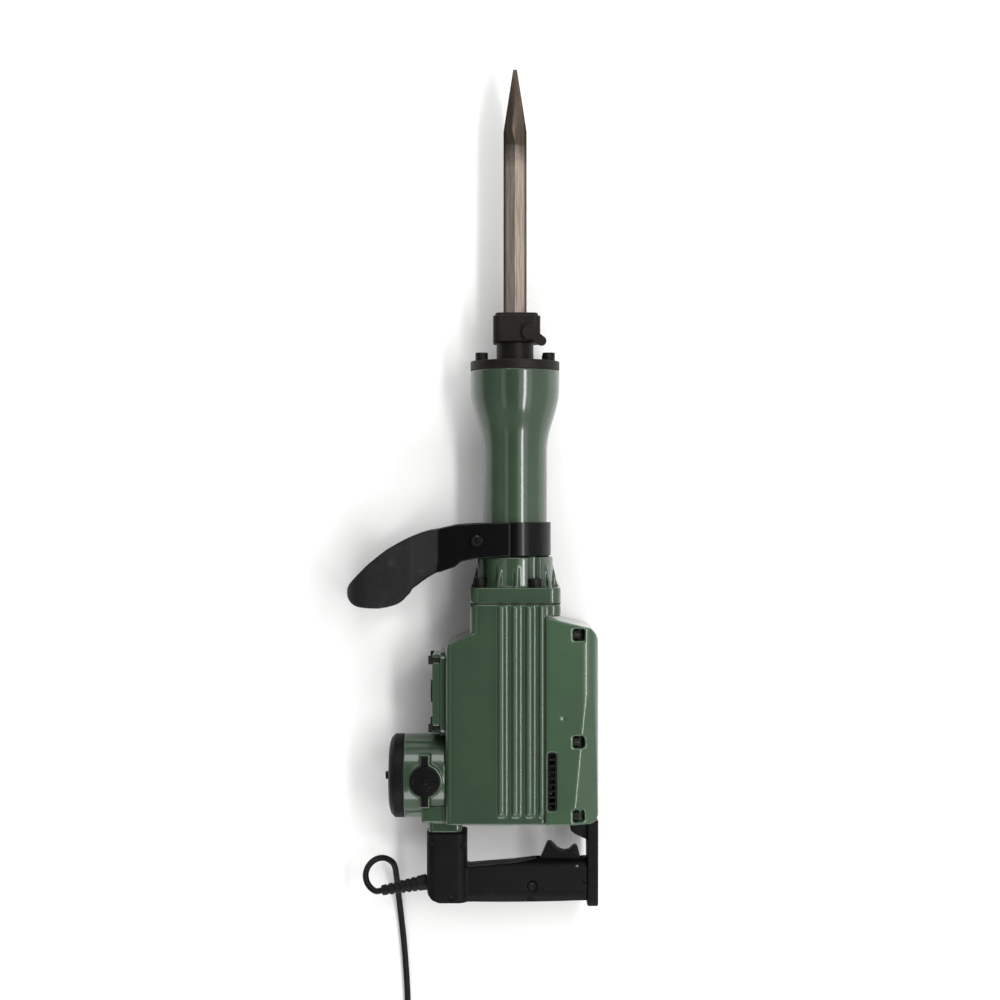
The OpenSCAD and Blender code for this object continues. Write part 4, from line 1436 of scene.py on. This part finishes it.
@dataclass(frozen=True)
class Softbox:
    """A rectangular soft light; its length runs along the tool. Places and sizes are in metres,
    and the brightness is that of its face."""

    name: str
    place: Point
    width: float
    length: float
    brightness: float

    def hang(self, aim: Vector) -> None:
        """Hangs the light so that it faces the aim.

        Args:
            aim: The point that it lights.
        """
        data = bpy.data.lights.new(self.name, "AREA")
        data.shape = "RECTANGLE"
        data.size, data.size_y = self.width, self.length
        data.energy = math.pi * self.width * self.length * self.brightness
        lamp = bpy.data.objects.new(self.name, data)
        back = (Vector(self.place) - aim).normalized()
        up = (Vector((0, 1, 0)) - back * back.y).normalized()
        side = up.cross(back)
        lamp.matrix_world = Matrix.Translation(self.place) @ Matrix((side, up, back)).transposed().to_4x4()
        lamp.visible_camera = False
        bpy.context.scene.collection.objects.link(lamp)


@dataclass
class Studio:
    """The camera straight above the tool, the paper floor and the soft lights."""

    eye: Point = (-19.5, 266.5, 2415.0)
    lens: float = 65.08
    sensor: float = 36.0
    floor_half: float = 5000.0
    aim: Point = (0.0, 0.2, 0.05)
    tent: float = 0.8
    opening: float = 0.05
    backdrop: float = 0.97
    lights: tuple[Softbox, ...] = (
        Softbox("strip_right", (0.84, 0.25, 1.85), 0.2, 1.8, 17.0),
        Softbox("bank_right", (1.35, 0.3, 2.75), 1.9, 3.2, 1.2),
        Softbox("strip_left", (-1.3, 0.2, 2.3), 0.5, 2.2, 0.9),
        Softbox("fill_foot", (0.0, -2.4, 2.1), 2.4, 1.2, 4.2),
        Softbox("fill_head", (0.0, 2.9, 2.1), 2.4, 1.2, 4.2),
    )

    def build(self) -> None:
        """Sets up the camera, the floor, the air and the lights."""
        data = bpy.data.cameras.new("camera")
        data.lens, data.sensor_width = self.lens, self.sensor
        camera = bpy.data.objects.new("camera", data)
        camera.location = Vector(self.eye) * MM
        bpy.context.scene.collection.objects.link(camera)
        bpy.context.scene.camera = camera
        bpy.context.scene.view_settings.view_transform = "Standard"
        half = self.floor_half
        floor = box("paper_floor", (-half, half), (-half, half), (-12.0, -0.4))
        floor.data.materials.append(BACKGROUND_PAPER.material())
        self.air()
        for light in self.lights:
            light.hang(Vector(self.aim))

    def air(self) -> None:
        """Makes the light tent: a bright wall, dark in its opening overhead and in its door on the
        left, and the pale backdrop that the camera sees."""
        world = bpy.data.worlds.new("light_tent")
        world.use_nodes = True
        bpy.context.scene.world = world
        tree = world.node_tree
        tree.nodes.clear()
        ray = add_node(tree, "LightPath").outputs["Is Camera Ray"]
        way = add_node(tree, "SeparateXYZ", {0: add_node(tree, "TexCoord").outputs["Generated"]})
        wall = add_node(
            tree,
            "MapRange",
            {
                "Value": way.outputs["Z"],
                "From Min": 0.55,
                "From Max": 0.93,
                "To Min": self.tent,
                "To Max": self.opening,
            },
        )
        door = add_node(
            tree,
            "MapRange",
            {"Value": way.outputs["X"], "From Min": -0.95, "From Max": -0.55, "To Min": 0.25},
        )
        lit = add_node(tree, "Math", {0: wall.outputs[0], 1: door.outputs[0]}, operation="MULTIPLY")
        cloth = add_node(tree, "Background", {"Strength": lit.outputs[0]})
        pale = add_node(tree, "Background", {"Strength": self.backdrop})
        for shade in (cloth, pale):
            shade.inputs["Color"].default_value = (1.0, 1.0, 1.0, 1.0)
        both = add_node(tree, "MixShader", {0: ray, 1: cloth.outputs[0], 2: pale.outputs[0]})
        add_node(tree, "OutputWorld", {"Surface": both.outputs[0]})


def main() -> None:
    logging.basicConfig(level=logging.INFO, format="%(message)s")
    Studio().build()
    assemblies = (
        MainsLead(),
        Barrel(),
        CrankHousing(),
        GearHousing(),
        Motor(),
        Drive(),
        SideHandle(),
        RearHandle(),
        ChiselSet(),
    )
    for assembly in assemblies:
        log.info("-- %s", type(assembly).__name__)
        assembly.build()


if __name__ == "__main__":
    main()
